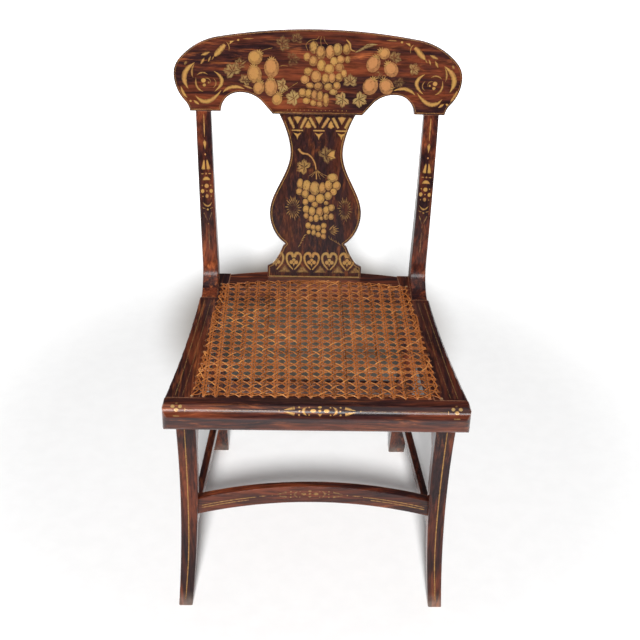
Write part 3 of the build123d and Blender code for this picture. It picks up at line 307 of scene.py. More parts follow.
def rubbed_edges(given):
    """Where an edge stands proud: one at the arris, nothing on the flats, broken up by wear."""
    tree = given["Vector"].tree
    rounded = put(tree, "ShaderNodeBevel", {"Radius": given["Width"]}, samples=6)
    normal = put(tree, "ShaderNodeNewGeometry", pick="Normal")
    edge = (1.0 - rounded.vector("DOT_PRODUCT", normal, pick="Value")).graded(0.01, 0.12)
    mask = edge * given["Vector"].noise(90.0, 4.0, 0.65).graded(0.36, 0.56, 0.25, 1.0)
    return {"Mask": mask.maths("MULTIPLY", given["Amount"], use_clamp=True)}


def old_varnish(given):
    """Handling and age: a cloudy change of gloss, dust specks and a soft orange peel."""
    vector = given["Vector"]
    cloudy = given["Roughness"] + vector.noise(14.0, 4.0, 0.6) * 0.2
    specks = vector.noise(420.0, 2.0, 0.5).graded(0.64, 0.72)
    roughness = cloudy.maths("ADD", specks * 0.15, use_clamp=True)
    return {"Roughness": roughness, "Height": vector.noise(240.0, 2.0, 0.5)}


GRAIN_COLOURS = {"Ground": "Color", "Figure": "Color", "Streak": "Color"}
EFFECTS = {
    "Rosewood graining": (graining, {"Vector": "Vector", **GRAIN_COLOURS}),
    "Rubbed edges": (rubbed_edges, {"Vector": "Vector", "Width": "Float", "Amount": "Float"}),
    "Old varnish": (old_varnish, {"Vector": "Vector", "Roughness": "Float"}),
}


def use_effect(tree, name, inputs):
    """Adds a shared effect to a material. Its group is made at its first use."""
    group = bpy.data.node_groups.get(name)
    if not group:
        make, sockets = EFFECTS[name]
        group = bpy.data.node_groups.new(name, "ShaderNodeTree")
        add_sockets(group, "INPUT", sockets)
        results = make(put(group, "NodeGroupInput", pick=None))
        kinds = {key: "Color" if value.socket.type == "RGBA" else "Float" for key, value in results.items()}
        add_sockets(group, "OUTPUT", kinds)
        put(group, "NodeGroupOutput", results)
    return put(tree, "ShaderNodeGroup", inputs, None, node_tree=group)


# ---------------------------------------------------------------------------------------------
# Finishes


def paint_layer(tree, along, redness):
    """The grained ground and its varnish: colour, roughness and relief, drawn along one axis."""
    paint = bpy.context.scene.chair_paint
    stretch = [1.0, 1.0, 1.0]
    stretch[along] = GRAIN_STRETCH
    colours = {
        "Ground": paint.ground,
        "Figure": [redness * part for part in paint.figure],
        "Streak": [redness * part for part in paint.streak],
    }
    grain = use_effect(tree, "Rosewood graining", {"Vector": object_coordinates(tree, stretch), **colours})
    varnish = use_effect(tree, "Old varnish", {"Vector": object_coordinates(tree), "Roughness": 0.2})
    return grain["Color"], varnish["Roughness"], grain["Height"] + varnish["Height"]


def varnished(tree, gloss, colour, roughness, relief, metallic=0.0):
    """Closes a painted material under its coat of varnish."""
    sockets = {
        "Base Color": colour,
        "Roughness": roughness,
        "Metallic": metallic,
        "Specular IOR Level": 0.1,
        "Coat Weight": gloss,
        "Coat Roughness": 0.15,
    }
    close_material(tree, sockets, (relief, 0.12, 0.4))


def painted_finish(name, along, redness, gloss):
    """Grained paint under old varnish, rubbed at the edges."""
    paint = bpy.context.scene.chair_paint
    material, tree = new_material(name)
    colour, roughness, relief = paint_layer(tree, along, redness)
    sockets = {"Vector": object_coordinates(tree), "Width": paint.edge_width, "Amount": paint.wear}
    colour = use_effect(tree, "Rubbed edges", sockets)["Mask"].mix(colour, paint.rubbed)
    place = object_place(tree)
    height = put(tree, "ShaderNodeSeparateXYZ", {"Vector": place}, "Z")
    scuffed = height.graded(0.0, 0.035, 0.7, 0.0) * place.noise(120.0, 4.0)
    nicks = place.noise(70.0, 6.0, 0.8).graded(0.71, 0.74, 0.0, 0.8)
    colour = nicks.mix(scuffed.mix(colour, paint.scuff), paint.scuff)
    varnished(tree, gloss, colour, roughness, relief)
    return material


def bronze_finish(name, along, redness=1.0, gloss=0.5):
    """Bronze powder rubbed on through a stencil: it fades into the graining where tone is low."""
    stencil = bpy.context.scene.chair_stencil
    material, tree = new_material(name)
    colour, roughness, relief = paint_layer(tree, along, redness)
    place = object_coordinates(tree)
    tone, warmth = attribute(tree, "tone"), attribute(tree, "warmth")
    rubbing = place.noise(260.0, 4.0, 0.65)
    grit = (rubbing - 0.5) * 1.1
    scratches = place.noise(130.0, 6.0, 0.75).graded(0.58, 0.66, 0.0, stencil.wear)
    cover = (tone + grit).graded(0.12, 0.8).maths("MULTIPLY", 1.0 - scratches, use_clamp=True)
    bronze = warmth.graded(0.0, 0.55).mix(stencil.pale, stencil.gold)
    bronze = warmth.graded(0.55, 1.0).mix(bronze, stencil.copper)
    bronze = place.noise(90.0, 3.0, 0.6).graded(0.42, 0.7, 0.0, 0.55).mix(bronze, stencil.copper)
    shaded = (tone + grit * 0.6).graded(0.25, 1.0).mix(stencil.shade, bronze)
    relief += rubbing * 0.5
    varnished(tree, gloss, cover.mix(colour, shaded), roughness + cover * 0.08, relief, cover * 0.3)
    return material


def cane_finish():
    """Split rattan under varnish: a shade for each strand, a fine bumpy relief and worn pale patches."""
    cane = bpy.context.scene.chair_cane
    material, tree = new_material("cane_varnished")
    place = object_coordinates(tree)
    cloud = place.noise(22.0, 4.0, 0.6)
    light = attribute(tree, "tone") * 0.5 + cloud * 0.6
    deep = [0.22 * part for part in cane.colour]
    colour = light.graded(0.62, 0.9).mix(light.graded(0.2, 0.62).mix(deep, cane.colour), cane.worn)
    sockets = {
        "Base Color": colour,
        "Roughness": cloud.maths("MULTIPLY_ADD", 0.25, 0.16),
        "Specular IOR Level": 0.25,
        "Coat Weight": 0.5,
        "Coat Roughness": 0.1,
    }
    close_material(tree, sockets, (place.noise(700.0, 2.0, 0.5), 0.2, 0.2))
    return material


def bare_wood_finish():
    material, tree = new_material("peg_wood")
    rings = object_coordinates(tree, (1.0, 1.0, 0.15)).noise(260.0, 4.0, 0.6)
    colour = rings.graded(0.35, 0.65).mix((0.2, 0.1, 0.045), (0.42, 0.25, 0.12))
    sockets = {"Base Color": colour, "Roughness": rings.maths("MULTIPLY_ADD", 0.2, 0.5)}
    close_material(tree, sockets, (rings, 0.3, 0.3))
    return material


def iron_finish():
    material, tree = new_material("screw_iron")
    rust = object_coordinates(tree).noise(180.0, 5.0, 0.65).graded(0.45, 0.65)
    sockets = {
        "Base Color": rust.mix((0.12, 0.11, 0.1), (0.14, 0.05, 0.02)),
        "Roughness": rust.graded(0.0, 1.0, 0.42, 0.8),
        "Metallic": rust.graded(0.0, 1.0, 1.0, 0.1),
    }
    close_material(tree, sockets, (rust, 0.3, 0.3))
    return material


def distance_from(place, middle, scale=(1.0, 1.0, 1.0)):
    """How far a place is from a middle, stretched along each axis."""
    return place.vector("SUBTRACT", middle).vector("MULTIPLY", scale).vector("LENGTH", pick="Value")


def floor_finish(stage):
    """A dusty pale floor with a brown painted shadow behind the seat. Far from the chair it is as white as
    the backdrop.
    """
    material, tree = new_material("pale_floor")
    place = object_coordinates(tree)
    dust = place.noise(30.0, 3.0).graded(0.3, 0.7, 0.98, 1.0)
    # Painted shadow: near (0, 0.72) the floor's colour goes over to the shade colour, where the seat's shadow
    # falls and shows through the cane.
    outside_painted_shadow = distance_from(place, (0.0, 0.72, 0.0), (2.9, 2.4, 1.0)).graded(0.6, 1.1)
    rays = put(tree, "ShaderNodeLightPath", pick=None)
    seen = rays["Is Camera Ray"].maths("MAXIMUM", rays["Is Glossy Ray"])
    seen = seen.maths("MAXIMUM", rays["Is Transmission Ray"])
    far = distance_from(place, (0.0, 0.25, 0.0)).graded(0.5, 1.5) * outside_painted_shadow * seen
    sockets = {
        "Base Color": outside_painted_shadow.mix(stage.shade, dust.darken(stage.floor)),
        "Roughness": 0.9,
        "Specular IOR Level": 0.1,
        "Emission Color": far.mix((0.0, 0.0, 0.0), (1.0, 1.0, 1.0)),
        "Emission Strength": 1.0,
    }
    close_material(tree, sockets)
    return material


def dress(node, material):
    """Puts a finish on a fixed node's own slots."""
    slots = NODES[node].material_slots
    if not slots:
        raise RuntimeError(f"{node} has no material slot")
    for slot in slots:
        slot.link = "OBJECT"
        slot.material = material


# ---------------------------------------------------------------------------------------------
# Woven cane


def cane_half(depth):
    """Half the width between the side rows of holes."""
    along = (depth - CANE_FRONT) / (CANE_REAR - CANE_FRONT)
    return CANE_FRONT_HALF + (CANE_REAR_HALF - CANE_FRONT_HALF) * along


def cane_rear(x):
    """Depth of the bowed rear row."""
    return CANE_REAR + CANE_BOW * max(0.0, 1 - (x / CANE_REAR_HALF) ** 2)


def column_rear(x):
    """Where a front-to-back pair ends: in the bowed rear row, or in a side rail."""
    if abs(x) < CANE_REAR_HALF:
        return cane_rear(x)
    along = (CANE_FRONT_HALF - abs(x)) / (CANE_FRONT_HALF - CANE_REAR_HALF)
    return CANE_FRONT + along * (CANE_REAR - CANE_FRONT)


def row_half(depth):
    """Half the length of a side-to-side pair: to the side rails, or to the bowed rear row."""
    if depth > CANE_REAR:
        return CANE_REAR_HALF * sqrt(max(0.0, 1 - (depth - CANE_REAR) / CANE_BOW))
    return cane_half(depth)


def cane_holes():
    """The ring of holes, as (x, depth)."""
    clear = CELL / 3
    holes = [(x, CANE_FRONT) for x in COLUMNS if abs(x) < CANE_FRONT_HALF - clear]
    holes += [(x, cane_rear(x)) for x in COLUMNS if abs(x) < CANE_REAR_HALF - clear]
    for side, _ in SIDES:
        holes += [(side * cane_half(depth), depth) for depth in ROWS]
        holes += [(side * CANE_FRONT_HALF, CANE_FRONT), (side * CANE_REAR_HALF, CANE_REAR)]
    return holes


def strand_points(line):
    """A strand's route over the seat, with both ends turned down into their holes."""
    level = SEAT_TOP + CANE_LIFT
    ends = []
    for (x, depth), (next_x, next_depth) in ((line[0], line[1]), (line[-1], line[-2])):
        run = hypot(next_x - x, next_depth - depth)
        step_x, step_depth = (next_x - x) / run * DIP_RUN, (next_depth - depth) / run * DIP_RUN
        ends.append([(x + part * step_x, depth + part * step_depth, level - drop) for part, drop in DIP])
    points = ends[0] + [(x, depth, level) for x, depth in line[1:-1]] + ends[1][::-1]
    return [(x * MM, (FRONT_Y + depth) * MM, z * MM) for x, depth, z in points]


def pair_strands(front_to_back):
    """Two strands in each column or row, drawn together where they enter a hole, with their waves' senses."""
    gap = bpy.context.scene.chair_cane.pair_gap / MM / 2
    strands = []
    for middle in COLUMNS if front_to_back else ROWS:
        last = column_rear(middle) if front_to_back else row_half(middle)
        first = CANE_FRONT if front_to_back else -last
        if last - first < CELL:
            continue
        ease = min(CELL * PAIR_EASE, (last - first) / 3)
        for sense in (-1.0, 1.0):
            place, hole = middle + sense * gap, middle + sense * PAIR_DRAWN * gap
            line = [(hole, first), (place, first + ease), (place, last - ease), (hole, last)]
            if not front_to_back:
                line = [(across, depth) for depth, across in line]
            strands.append((strand_points(line), sense if front_to_back else -sense))
    return strands


def diagonal_strands(lean):
    """Strands at 45 degrees, half a cell off the pairs' crossings, each end led on to the hole ahead."""
    holes = cane_holes()
    half = CELL / 2
    strands = []
    count = int(2 * (CANE_FRONT_HALF + CANE_REAR + CANE_BOW) / CELL)
    for number in range(-count, count):
        line = []
        for step in range(int(2 * CANE_FRONT_HALF / SCAN) + 1):
            x = step * SCAN - CANE_FRONT_HALF
            depth = lean * (x - half) + (number + 0.5) * CELL + CANE_FRONT
            if CANE_FRONT < depth < cane_rear(x) and abs(x) < cane_half(depth):
                line.append((x, depth))
        if len(line) < 2 or line[-1][0] - line[0][0] <= CELL:
            continue
        route = []
        for (x, depth), ahead in ((line[0], -half), (line[-1], half)):
            out_x, out_depth = x + ahead, depth + lean * ahead
            hole = min(holes, key=lambda hole: (hole[0] - out_x) ** 2 + (hole[1] - out_depth) ** 2)
            route.append([hole, (x - ahead, depth - lean * ahead)])
        strands.append((strand_points(route[0] + route[1][::-1]), lean))
    return strands


def strand_routes(name, strands):
    """A mesh of edges, one chain for each strand, with the way each strand's wave starts."""
    vertices, edges, senses = [], [], []
    for points, sense in strands:
        first = len(vertices)
        vertices.extend(points)
        edges.extend((first + n, first + n + 1) for n in range(len(points) - 1))
        senses.extend([sense] * len(points))
    mesh = bpy.data.meshes.new(name)
    mesh.from_pydata(vertices, edges, [])
    mesh.attributes.new("sense", "FLOAT", "POINT").data.foreach_set("value", senses)
    return mesh


def strand_tree(name, at_crossings):
    """Turns strand routes into flat woven strands.

    A pair's strand waves only at its crossings. A diagonal waves all the way.
    """
    tree = bpy.data.node_groups.new(name, "GeometryNodeTree")
    numbers = ("Width", "Thickness", "Wave", "Cell", "Reach", "Step", "First crossing", "Least tone",
               "Most tone")
    kinds = {"Routes": "Geometry", **dict.fromkeys(numbers, "Float"), "Across": "Vector", "Seed": "Int"}
    add_sockets(tree, "INPUT", {**kinds, "Material": "Material"})
    add_sockets(tree, "OUTPUT", {"Strands": "Geometry"})
    given = put(tree, "NodeGroupInput", pick=None)
    tones = {"Min_001": given["Least tone"], "Max_001": given["Most tone"], "Seed": given["Seed"]}
    tone = put(tree, "FunctionNodeRandomValue", tones, 1, data_type="FLOAT")
    curves = put(tree, "GeometryNodeMeshToCurve", {"Mesh": given["Routes"]})
    named = {"Geometry": curves, "Name": "tone", "Value": tone}
    curves = put(tree, "GeometryNodeStoreNamedAttribute", named, data_type="FLOAT", domain="CURVE")
    curves = put(tree, "GeometryNodeResampleCurve", {"Curve": curves, "Length": given["Step"]}, mode="LENGTH")
    along = put(tree, "GeometryNodeInputPosition").vector("DOT_PRODUCT", given["Across"], pick="Value")
    count = (along - given["First crossing"]) / given["Cell"]
    if at_crossings:
        turn = (count - count.maths("ROUND")) * given["Cell"] / given["Reach"]
        wave = (turn * pi).maths("SINE") * turn.maths("ABSOLUTE").maths("LESS_THAN", 1.0)
    else:
        wave = (count * (2 * pi)).maths("COSINE")
    sense = put(tree, "GeometryNodeInputNamedAttribute", {"Name": "sense"}, data_type="FLOAT")
    offset = put(tree, "ShaderNodeCombineXYZ", {"Z": wave * sense * given["Wave"]})
    curves = put(tree, "GeometryNodeSetPosition", {"Geometry": curves, "Offset": offset})
    curves = put(tree, "GeometryNodeSetCurveNormal", {"Curve": curves}, mode="Z_UP")
    ring = put(tree, "GeometryNodeCurvePrimitiveCircle", {"Resolution": 8, "Radius": 0.5})
    section = put(tree, "ShaderNodeCombineXYZ", (given["Width"], given["Thickness"], 1.0))
    ring = put(tree, "GeometryNodeTransform", {"Geometry": ring, "Scale": section})
    mesh = put(tree, "GeometryNodeCurveToMesh", {"Curve": curves, "Profile Curve": ring, "Fill Caps": True})
    mesh = put(tree, "GeometryNodeSetShadeSmooth", {"Geometry": mesh})
    mesh = put(tree, "GeometryNodeRealizeInstances", {"Geometry": mesh})
    mesh = put(tree, "GeometryNodeSetMaterial", {"Geometry": mesh, "Material": given["Material"]})
    put(tree, "NodeGroupOutput", {"Strands": mesh})
    return tree


def grown(name, mesh, tree, values):
    """Runs a node tree on a mesh and keeps the result as a plain mesh object."""
    source = link_piece(name + "_source", mesh)
    modifier = source.modifiers.new("tree", "NODES")
    modifier.node_group = tree
    for socket in tree.interface.items_tree:
        if socket.item_type == "SOCKET" and socket.in_out == "INPUT" and socket.name in values:
            modifier[socket.identifier] = values[socket.name]
    bpy.context.view_layer.update()
    evaluated = source.evaluated_get(bpy.context.evaluated_depsgraph_get())
    result = bpy.data.meshes.new_from_object(evaluated)
    bpy.data.objects.remove(source)
    if not result.polygons:
        raise RuntimeError(f"{name}: the tree gave no faces")
    result.name = name
    return link_piece(name, result)


def link_piece(name, mesh):
    piece = bpy.data.objects.new(name, mesh)
    bpy.context.scene.collection.objects.link(piece)
    return piece


# ---------------------------------------------------------------------------------------------
# Stencils: thin films of bronze laid on a painted face. Sizes are in millimetres on that face.


class Face:
    """A painted face: a flat grid over it, and the way to look in at the wood."""

    def __init__(self, node, origin, across, up, follow=lambda u: 0.0):
        self.origin = Vector(origin) * MM
        self.across = Vector(across).normalized()
        self.up = Vector(up).normalized()
        self.look = self.up.cross(self.across).normalized()
        self.follow = follow
        mesh = NODES[node].data
        self.corners = [vertex.co.copy() for vertex in mesh.vertices]
        self.polygons = [list(polygon.vertices) for polygon in mesh.polygons]
        self.wood = BVHTree.FromPolygons(self.corners, self.polygons)

    def hit(self, u, v):
        start = self.origin + (self.across * u + self.up * v) * MM - self.look * LOOK_FROM
        return self.wood.ray_cast(start, self.look)

    def at(self, u, v):
        """The wood under (u, v) and its outward normal. A shape that runs off the edge ends there."""
        v += self.follow(u)
        for step in range(EDGE_STEPS):
            place, normal, _, _ = self.hit(u - copysign(EDGE_STEP * step, u), v)
            if place:
                return place, -normal if normal.dot(self.look) > 0 else normal
        raise RuntimeError(f"no wood under the stencil at {u:.1f}, {v:.1f}")

    def covers(self, u, v, reach):
        """Whether there is wood a reach away from (u, v) on each side."""
        ways = ((reach, 0), (-reach, 0), (0, reach), (0, -reach))
        return all(self.hit(u + du, v + dv)[0] for du, dv in ways)

    def outlines(self, step=3.0):
        """The closed outlines of the flat front, as evenly spaced (u, v) points."""
        corners, edges = {}, {}
        for polygon in self.polygons:
            a, b, c = (self.corners[index] for index in polygon[:3])
            if (b - a).cross(c - a).normalized().dot(self.look) > FACING:
                continue
            middle = (a + b + c) / 3
            place = self.wood.ray_cast(middle - self.look * LOOK_FROM, self.look)[0]
            if place and (middle - place).dot(self.look) > BEHIND:
                continue
            keys = [tuple(round(part / CORNER_GRID) for part in self.corners[index]) for index in polygon]
            corners.update((key, self.corners[index]) for key, index in zip(keys, polygon))
            for first, second in zip(keys, shifted(keys)):
                if (second, first) in edges:
                    del edges[(second, first)]
                else:
                    edges[(first, second)] = True
        following = {}
        for first, second in edges:
            following.setdefault(first, []).append(second)
        loops = []
        while following:
            start = next(iter(following))
            chain, key = [start], following[start].pop()
            while key != start:
                chain.append(key)
                key = following[key].pop()
            following = {first: seconds for first, seconds in following.items() if seconds}
            away = [corners[key] - self.origin for key in chain]
            loops.append([(place.dot(self.across) / MM, place.dot(self.up) / MM) for place in away])
        return [even_loop(loop, step) for loop in loops if sum(loop_lengths(loop)) > SMALL_HOLE]


def shifted(items):
    """The items from the second on, and then the first."""
    return items[1:] + items[:1]


def loop_lengths(loop):
    return [hypot(b[0] - a[0], b[1] - a[1]) for a, b in zip(loop, shifted(loop))]


def even_loop(loop, step):
    """A closed loop with its points spread evenly."""
    lengths, ends = loop_lengths(loop), shifted(loop)
    count = max(8, int(sum(lengths) / step))
    points = []
    travelled, index = 0.0, 0
    for number in range(count):
        target = sum(lengths) * number / count
        while travelled + lengths[index] < target:
            travelled += lengths[index]
            index += 1
        along = (target - travelled) / (lengths[index] or 1.0)
        points.append(tuple(a + (b - a) * along for a, b in zip(loop[index], ends[index])))
    return points


def smooth_path(points, samples):
    """Points evenly along a smooth line through the given ones."""
    path = []
    spread = [points[0], *points, points[-1]]
    for number in range(samples):
        along = number / (samples - 1) * (len(points) - 1)
        piece = min(int(along), len(points) - 2)
        t = along - piece
        if len(points) == 2:
            path.append(tuple(a + (b - a) * t for a, b in zip(*points)))
            continue
        path.append(tuple(
            0.5 * (2 * b + (c - a) * t + (2 * a - 5 * b + 4 * c - d) * t**2 + (3 * b - a - 3 * c + d) * t**3)
            for a, b, c, d in zip(*spread[piece : piece + 4])))
    return path


def toward(u, v, reach, angle):
    return u + reach * cos(radians(angle)), v + reach * sin(radians(angle))


def beside(before, after, place, reach):
    """The point at a reach to the left of a place, seen along the run from before to after."""
    run_u, run_v = after[0] - before[0], after[1] - before[1]
    run = hypot(run_u, run_v) or 1.0
    return place[0] - run_v / run * reach, place[1] + run_u / run * reach


def ellipse(u, v, half_u, half_v, angle, sides):
    turn = radians(angle)
    outline = []
    for n in range(sides):
        x, y = half_u * cos(2 * pi * n / sides), half_v * sin(2 * pi * n / sides)
        outline.append((u + x * cos(turn) - y * sin(turn), v + x * sin(turn) + y * cos(turn)))
    return outline


# A vine leaf's edge and veins: degrees away from its tip, and the reach there.
LEAF_EDGE = (
    (0, 1.0), (10, 0.84), (15, 0.88), (27, 0.66), (40, 0.86), (46, 0.82), (55, 0.98), (66, 0.8), (72, 0.82),
    (86, 0.62), (100, 0.76), (114, 0.84), (128, 0.66), (136, 0.68), (155, 0.46), (180, 0.22),
)
LEAF_VEINS = ((0, 1.0), (52, 0.9), (-52, 0.9), (110, 0.7), (-110, 0.7))


class Stencil:
    """Gathers the bronze shapes of one piece on its face.

    Tones run from a shape's rim to its middle, and a third one that isn't given is a little brighter. The
    setting is a flip and a shift of what is drawn next.
    """

    def __init__(self, *face):
        self.face = Face(*face)
        self.film = bpy.context.scene.chair_stencil.film
        self.vertices, self.faces, self.tones, self.warmths = [], [], [], []
        self.setting = (1, 0.0, 0.0)
        self.shapes = 0

    def row(self, places, tone, warmth, level):
        """Adds points at a level over the wood, and gives their numbers."""
        flip, shift_u, shift_v = self.setting
        lift = level + LAYER * self.shapes if level > 0 else level
        first = len(self.vertices)
        for u, v in places:
            place, normal = self.face.at(flip * u + shift_u, v + shift_v)
            self.vertices.append(place + normal * (self.film * lift))
        self.tones += [tone] * len(places)
        self.warmths += [warmth] * len(places)
        return list(range(first, len(self.vertices)))

    def surface(self, faces):
        self.faces.extend(face[::-1] if self.setting[0] < 0 else face for face in faces)

    def close(self, rim, warmth, places, as_strip=False):
        """Walls from the rim down into the wood, and a hidden underside."""
        low = self.row(places, 0.0, warmth, SUNK)
        self.surface(zip(rim, low, shifted(low), shifted(rim)))
        if as_strip:
            last = len(low) - 1
            self.surface((low[n], low[last - n], low[last - n - 1], low[n + 1]) for n in range(last // 2))
        else:
            self.surface([low[::-1]])

    def patch(self, outline, tones=BRIGHT, warmth=0.5, inset=0.6, centre=None, level=1.0):
        """A filled shape, bright in the middle. It has to be seen whole from its centre."""
        count = len(outline)
        self.shapes += 1
        tones = (*tones, min(1.0, tones[-1] + 0.1))
        mid_u, mid_v = centre or (sum(u for u, _ in outline) / count, sum(v for _, v in outline) / count)
        if sum(a[0] * b[1] - b[0] * a[1] for a, b in zip(outline, shifted(outline))) < 0:
            outline = outline[::-1]
        inner = [(mid_u + (u - mid_u) * inset, mid_v + (v - mid_v) * inset) for u, v in outline]
        rim = self.row(outline, tones[0], warmth, level)
        ring = self.row(inner, tones[1], warmth, level)
        hub = self.row([(mid_u, mid_v)], tones[2], warmth, level) * count
        self.surface(zip(rim, shifted(rim), shifted(ring), ring))
        self.surface(zip(ring, shifted(ring), hub))
        self.close(rim, warmth, outline)

    def stripe(self, path, widths, tones, warmth, level=1.0):
        """A brush line through the given points. Its widths are spread evenly along it."""
        last = len(path) - 1
        left, right = [], []
        for n, place in enumerate(path):
            along = n / last * (len(widths) - 1)
            piece = min(int(along), len(widths) - 2)
            half = max((widths[piece] + (widths[piece + 1] - widths[piece]) * (along - piece)) / 2, THINNEST)
            left.append(beside(path[max(n - 1, 0)], path[min(n + 1, last)], place, half))
            right.append(beside(path[max(n - 1, 0)], path[min(n + 1, last)], place, -half))
        self.shapes += 1
        places = right + left[::-1]
        rim = self.row(places, tones[0], warmth, level)
        spine = self.row(path, tones[1], warmth, level)
        for n in range(last):
            self.surface([(rim[n], rim[n + 1], spine[n + 1], spine[n]),
                          (spine[n], spine[n + 1], rim[2 * last - n], rim[2 * last + 1 - n])])
        self.surface([(spine[0], rim[2 * last + 1], rim[0]), (rim[last], rim[last + 1], spine[last])])
        self.close(rim, warmth, places, as_strip=True)

    def band(self, points, widths, tones, warmth=0.5, samples=0, level=1.0):
        """A brush line along a smooth path."""
        samples = samples or max(5, 3 * len(points))
        self.stripe(smooth_path(points, samples), widths, tones, warmth, level)

    def pin_line(self, inset, width, tone, warmth, top):
        """A fine line just inside the face's outline, below its top."""
        for loop in self.face.outlines():
            count = len(loop)
            inner = [beside(loop[n - 1], loop[(n + 1) % count], loop[n], inset) for n in range(count)]
            kept = [loop[n][1] < top and self.face.covers(*inner[n], width) for n in range(count)]
            start = kept.index(False) if False in kept else 0
            run = []
            for n in range(start, start + count + 1):
                if kept[n % count]:
                    run.append(inner[n % count])
                if (not kept[n % count] or n == start + count) and run:
                    if len(run) > 2:
                        self.stripe(run, (width, width), (0.4 * tone, tone), warmth)
                    run = []

    def oval(self, u, v, half_u, half_v, tones, warmth=0.5, sides=12, angle=0.0, level=1.0):
        self.patch(ellipse(u, v, half_u, half_v, angle, sides), tones, warmth, 0.72, level=level)

    def blade(self, u, v, reach, width, angle, tones, warmth=0.4, level=1.0):
        """A pointed blade that starts at (u, v)."""
        widths = (0.3, width * 0.8, width, width * 0.75, 0.3)
        self.band([(u, v), toward(u, v, reach, angle)], widths, tones, warmth, 7, level)

    def arc(self, first, middle, last, width, tones=BRIGHT, warmth=0.5, samples=13):
        """A crescent through three points, full in the middle and pointed at its ends."""
        path = []
        for t in (n / 8 for n in range(9)):
            path.append(tuple((1 - t) ** 2 * a + 2 * t * (1 - t) * (2 * m - (a + b) / 2) + t * t * b
                              for a, m, b in zip(first, middle, last)))
        self.band(path, (0.3, width * 0.85, width, width * 0.85, 0.3), tones, warmth, samples)

    def berry(self, u, v, half_u, half_v, warmth, tone=1.0, angle=0.0, sides=14):
        """A bright round with a dark line about it."""
        outline = ellipse(u, v, BERRY_RING * half_u, BERRY_RING * half_v, angle, sides)
        self.patch(outline, (-0.7, 0.7 * tone, 0.8 * tone), warmth, 0.86, (u, v))
        self.oval(u - 0.1 * half_u, v + 0.14 * half_v, 0.84 * half_u, 0.84 * half_v,
                  (0.62 * tone, 0.95 * tone, tone), warmth, 9, angle, 1.3)

    def vine_leaf(self, u, v, size, angle, tone, warmth=0.25):
        """A lobed leaf with fine dark veins; its longest lobe points along the angle."""
        turns = [*LEAF_EDGE, *((-turn, reach) for turn, reach in LEAF_EDGE[-2:0:-1])]
        outline = [toward(u, v, size * 0.52 * reach, angle + turn) for turn, reach in turns]
        self.patch(outline, (0.6 * tone, tone, 0.75 * tone), warmth, 0.7, (u, v))
        for turn, reach in LEAF_VEINS:
            self.blade(u, v, size * 0.46 * reach, size * 0.04, angle + turn, (0.2, 0.1), warmth, 1.5)

    def strawberry(self, u, v, half_u, half_v, angle, warmth):
        """A fruit with a crown of small leaves; the crown points along angle from straight up."""
        self.berry(u, v, half_u * 1.08, half_v * 1.08, warmth, 0.95, angle, 18)
        top = toward(u, v, half_v * 0.86, angle + 90)
        for n in range(-2, 3):
            self.blade(*top, 7.5, 2.2, 90 + angle + 36 * n, (0.5, 0.95), 0.4, 1.6)

    def frill(self, u, v, half_u, half_v, tone, warmth, count):
        """A leaf seen as a ring of short blades round a dark middle."""
        for n in range(count):
            x, y = half_u * cos(2 * pi * n / count), half_v * sin(2 * pi * n / count)
            place = (u + 0.5 * x, v + 0.5 * y)
            reach = (0.62 - 0.2 * (n % 2)) * hypot(x, y)
            self.blade(*place, reach, 3.2, degrees(atan2(y, x)) + 12, (0.3 * tone, tone), warmth)
            self.oval(*place, 1.6, 1.6, (0.3 * tone, 0.6 * tone, 0.6 * tone), warmth, 6)

    def piece(self, name, material):
        mesh = bpy.data.meshes.new(name)
        mesh.from_pydata(self.vertices, [], self.faces)
        for key, values in (("tone", self.tones), ("warmth", self.warmths)):
            mesh.attributes.new(key, "FLOAT", "POINT").data.foreach_set("value", values)
        mesh.materials.append(material)
        mesh.validate()
        stencil = link_piece(name, mesh)
        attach(stencil, "root")


# The crest rail's motifs, on its front face: u across from the middle, v up from the centre block.
# Each grape is (u, v, half width, half height).
CREST_GRAPES = (
    (-8, 109, 7.3, 10), (46, 107, 6.6, 8.6), (31, 106.5, 7.4, 10), (19, 102, 7.2, 10.8),
    (3.5, 100.5, 8, 11.2), (-18.5, 93.5, 6.2, 6.8), (48, 90.5, 4.6, 5.8), (25.5, 86.5, 6, 7.8),
    (36.5, 90.5, 6.3, 6.4), (-8.5, 87, 7.2, 8.2), (5, 80.5, 7, 9.2), (42.5, 68, 4.6, 6.4), (35, 77, 7.4, 7.2),
    (18, 74.5, 7.8, 8.4), (-16.5, 70, 7.4, 6.8), (34.5, 61.5, 6, 7.4), (23, 60.5, 5.4, 7.8),
    (12, 58.5, 6.4, 9.2), (-3.5, 62, 8.4, 9.6), (-22, 57, 7, 6.8), (-13.5, 47.5, 6.6, 5), (31, 48, 6.2, 6.4),
    (17, 46, 6.8, 6), (0.5, 46.5, 7, 6.6), (25.5, 37.5, 6.6, 4.8), (-25.5, 35.5, 6.4, 7.2),
    (-15.5, 34.5, 6, 7.2), (-5.5, 31.5, 5.6, 8.6), (4, 30, 5.6, 8.8), (13.5, 24.5, 5, 11),
    (-19, 22.5, 6.2, 5), (-7.5, 19, 5, 5), (3, 17, 5.2, 5),
)
# Each strawberry is (u, v, half width, half height, angle, warmth).
CREST_FRUIT = (
    (-104, 91, 10.5, 10.5, -45, 0.7), (-77, 75, 11, 14, 0, 0.85), (-105, 64, 10.5, 13, 10, 0.75),
    (-78, 43.5, 9.5, 13, 0, 0.85), (-98, 42, 8, 9.5, -15, 0.8), (-67.5, 24, 7.5, 8.5, -20, 0.7),
    (90.5, 84, 10, 12.5, -20, 1.0), (120, 76, 10, 11.5, 35, 1.0), (86.5, 48, 11, 13, -25, 1.0),
    (113, 48, 10.5, 11.5, 25, 0.95), (108.5, 101, 8.5, 7.5, 60, 0.8),
)
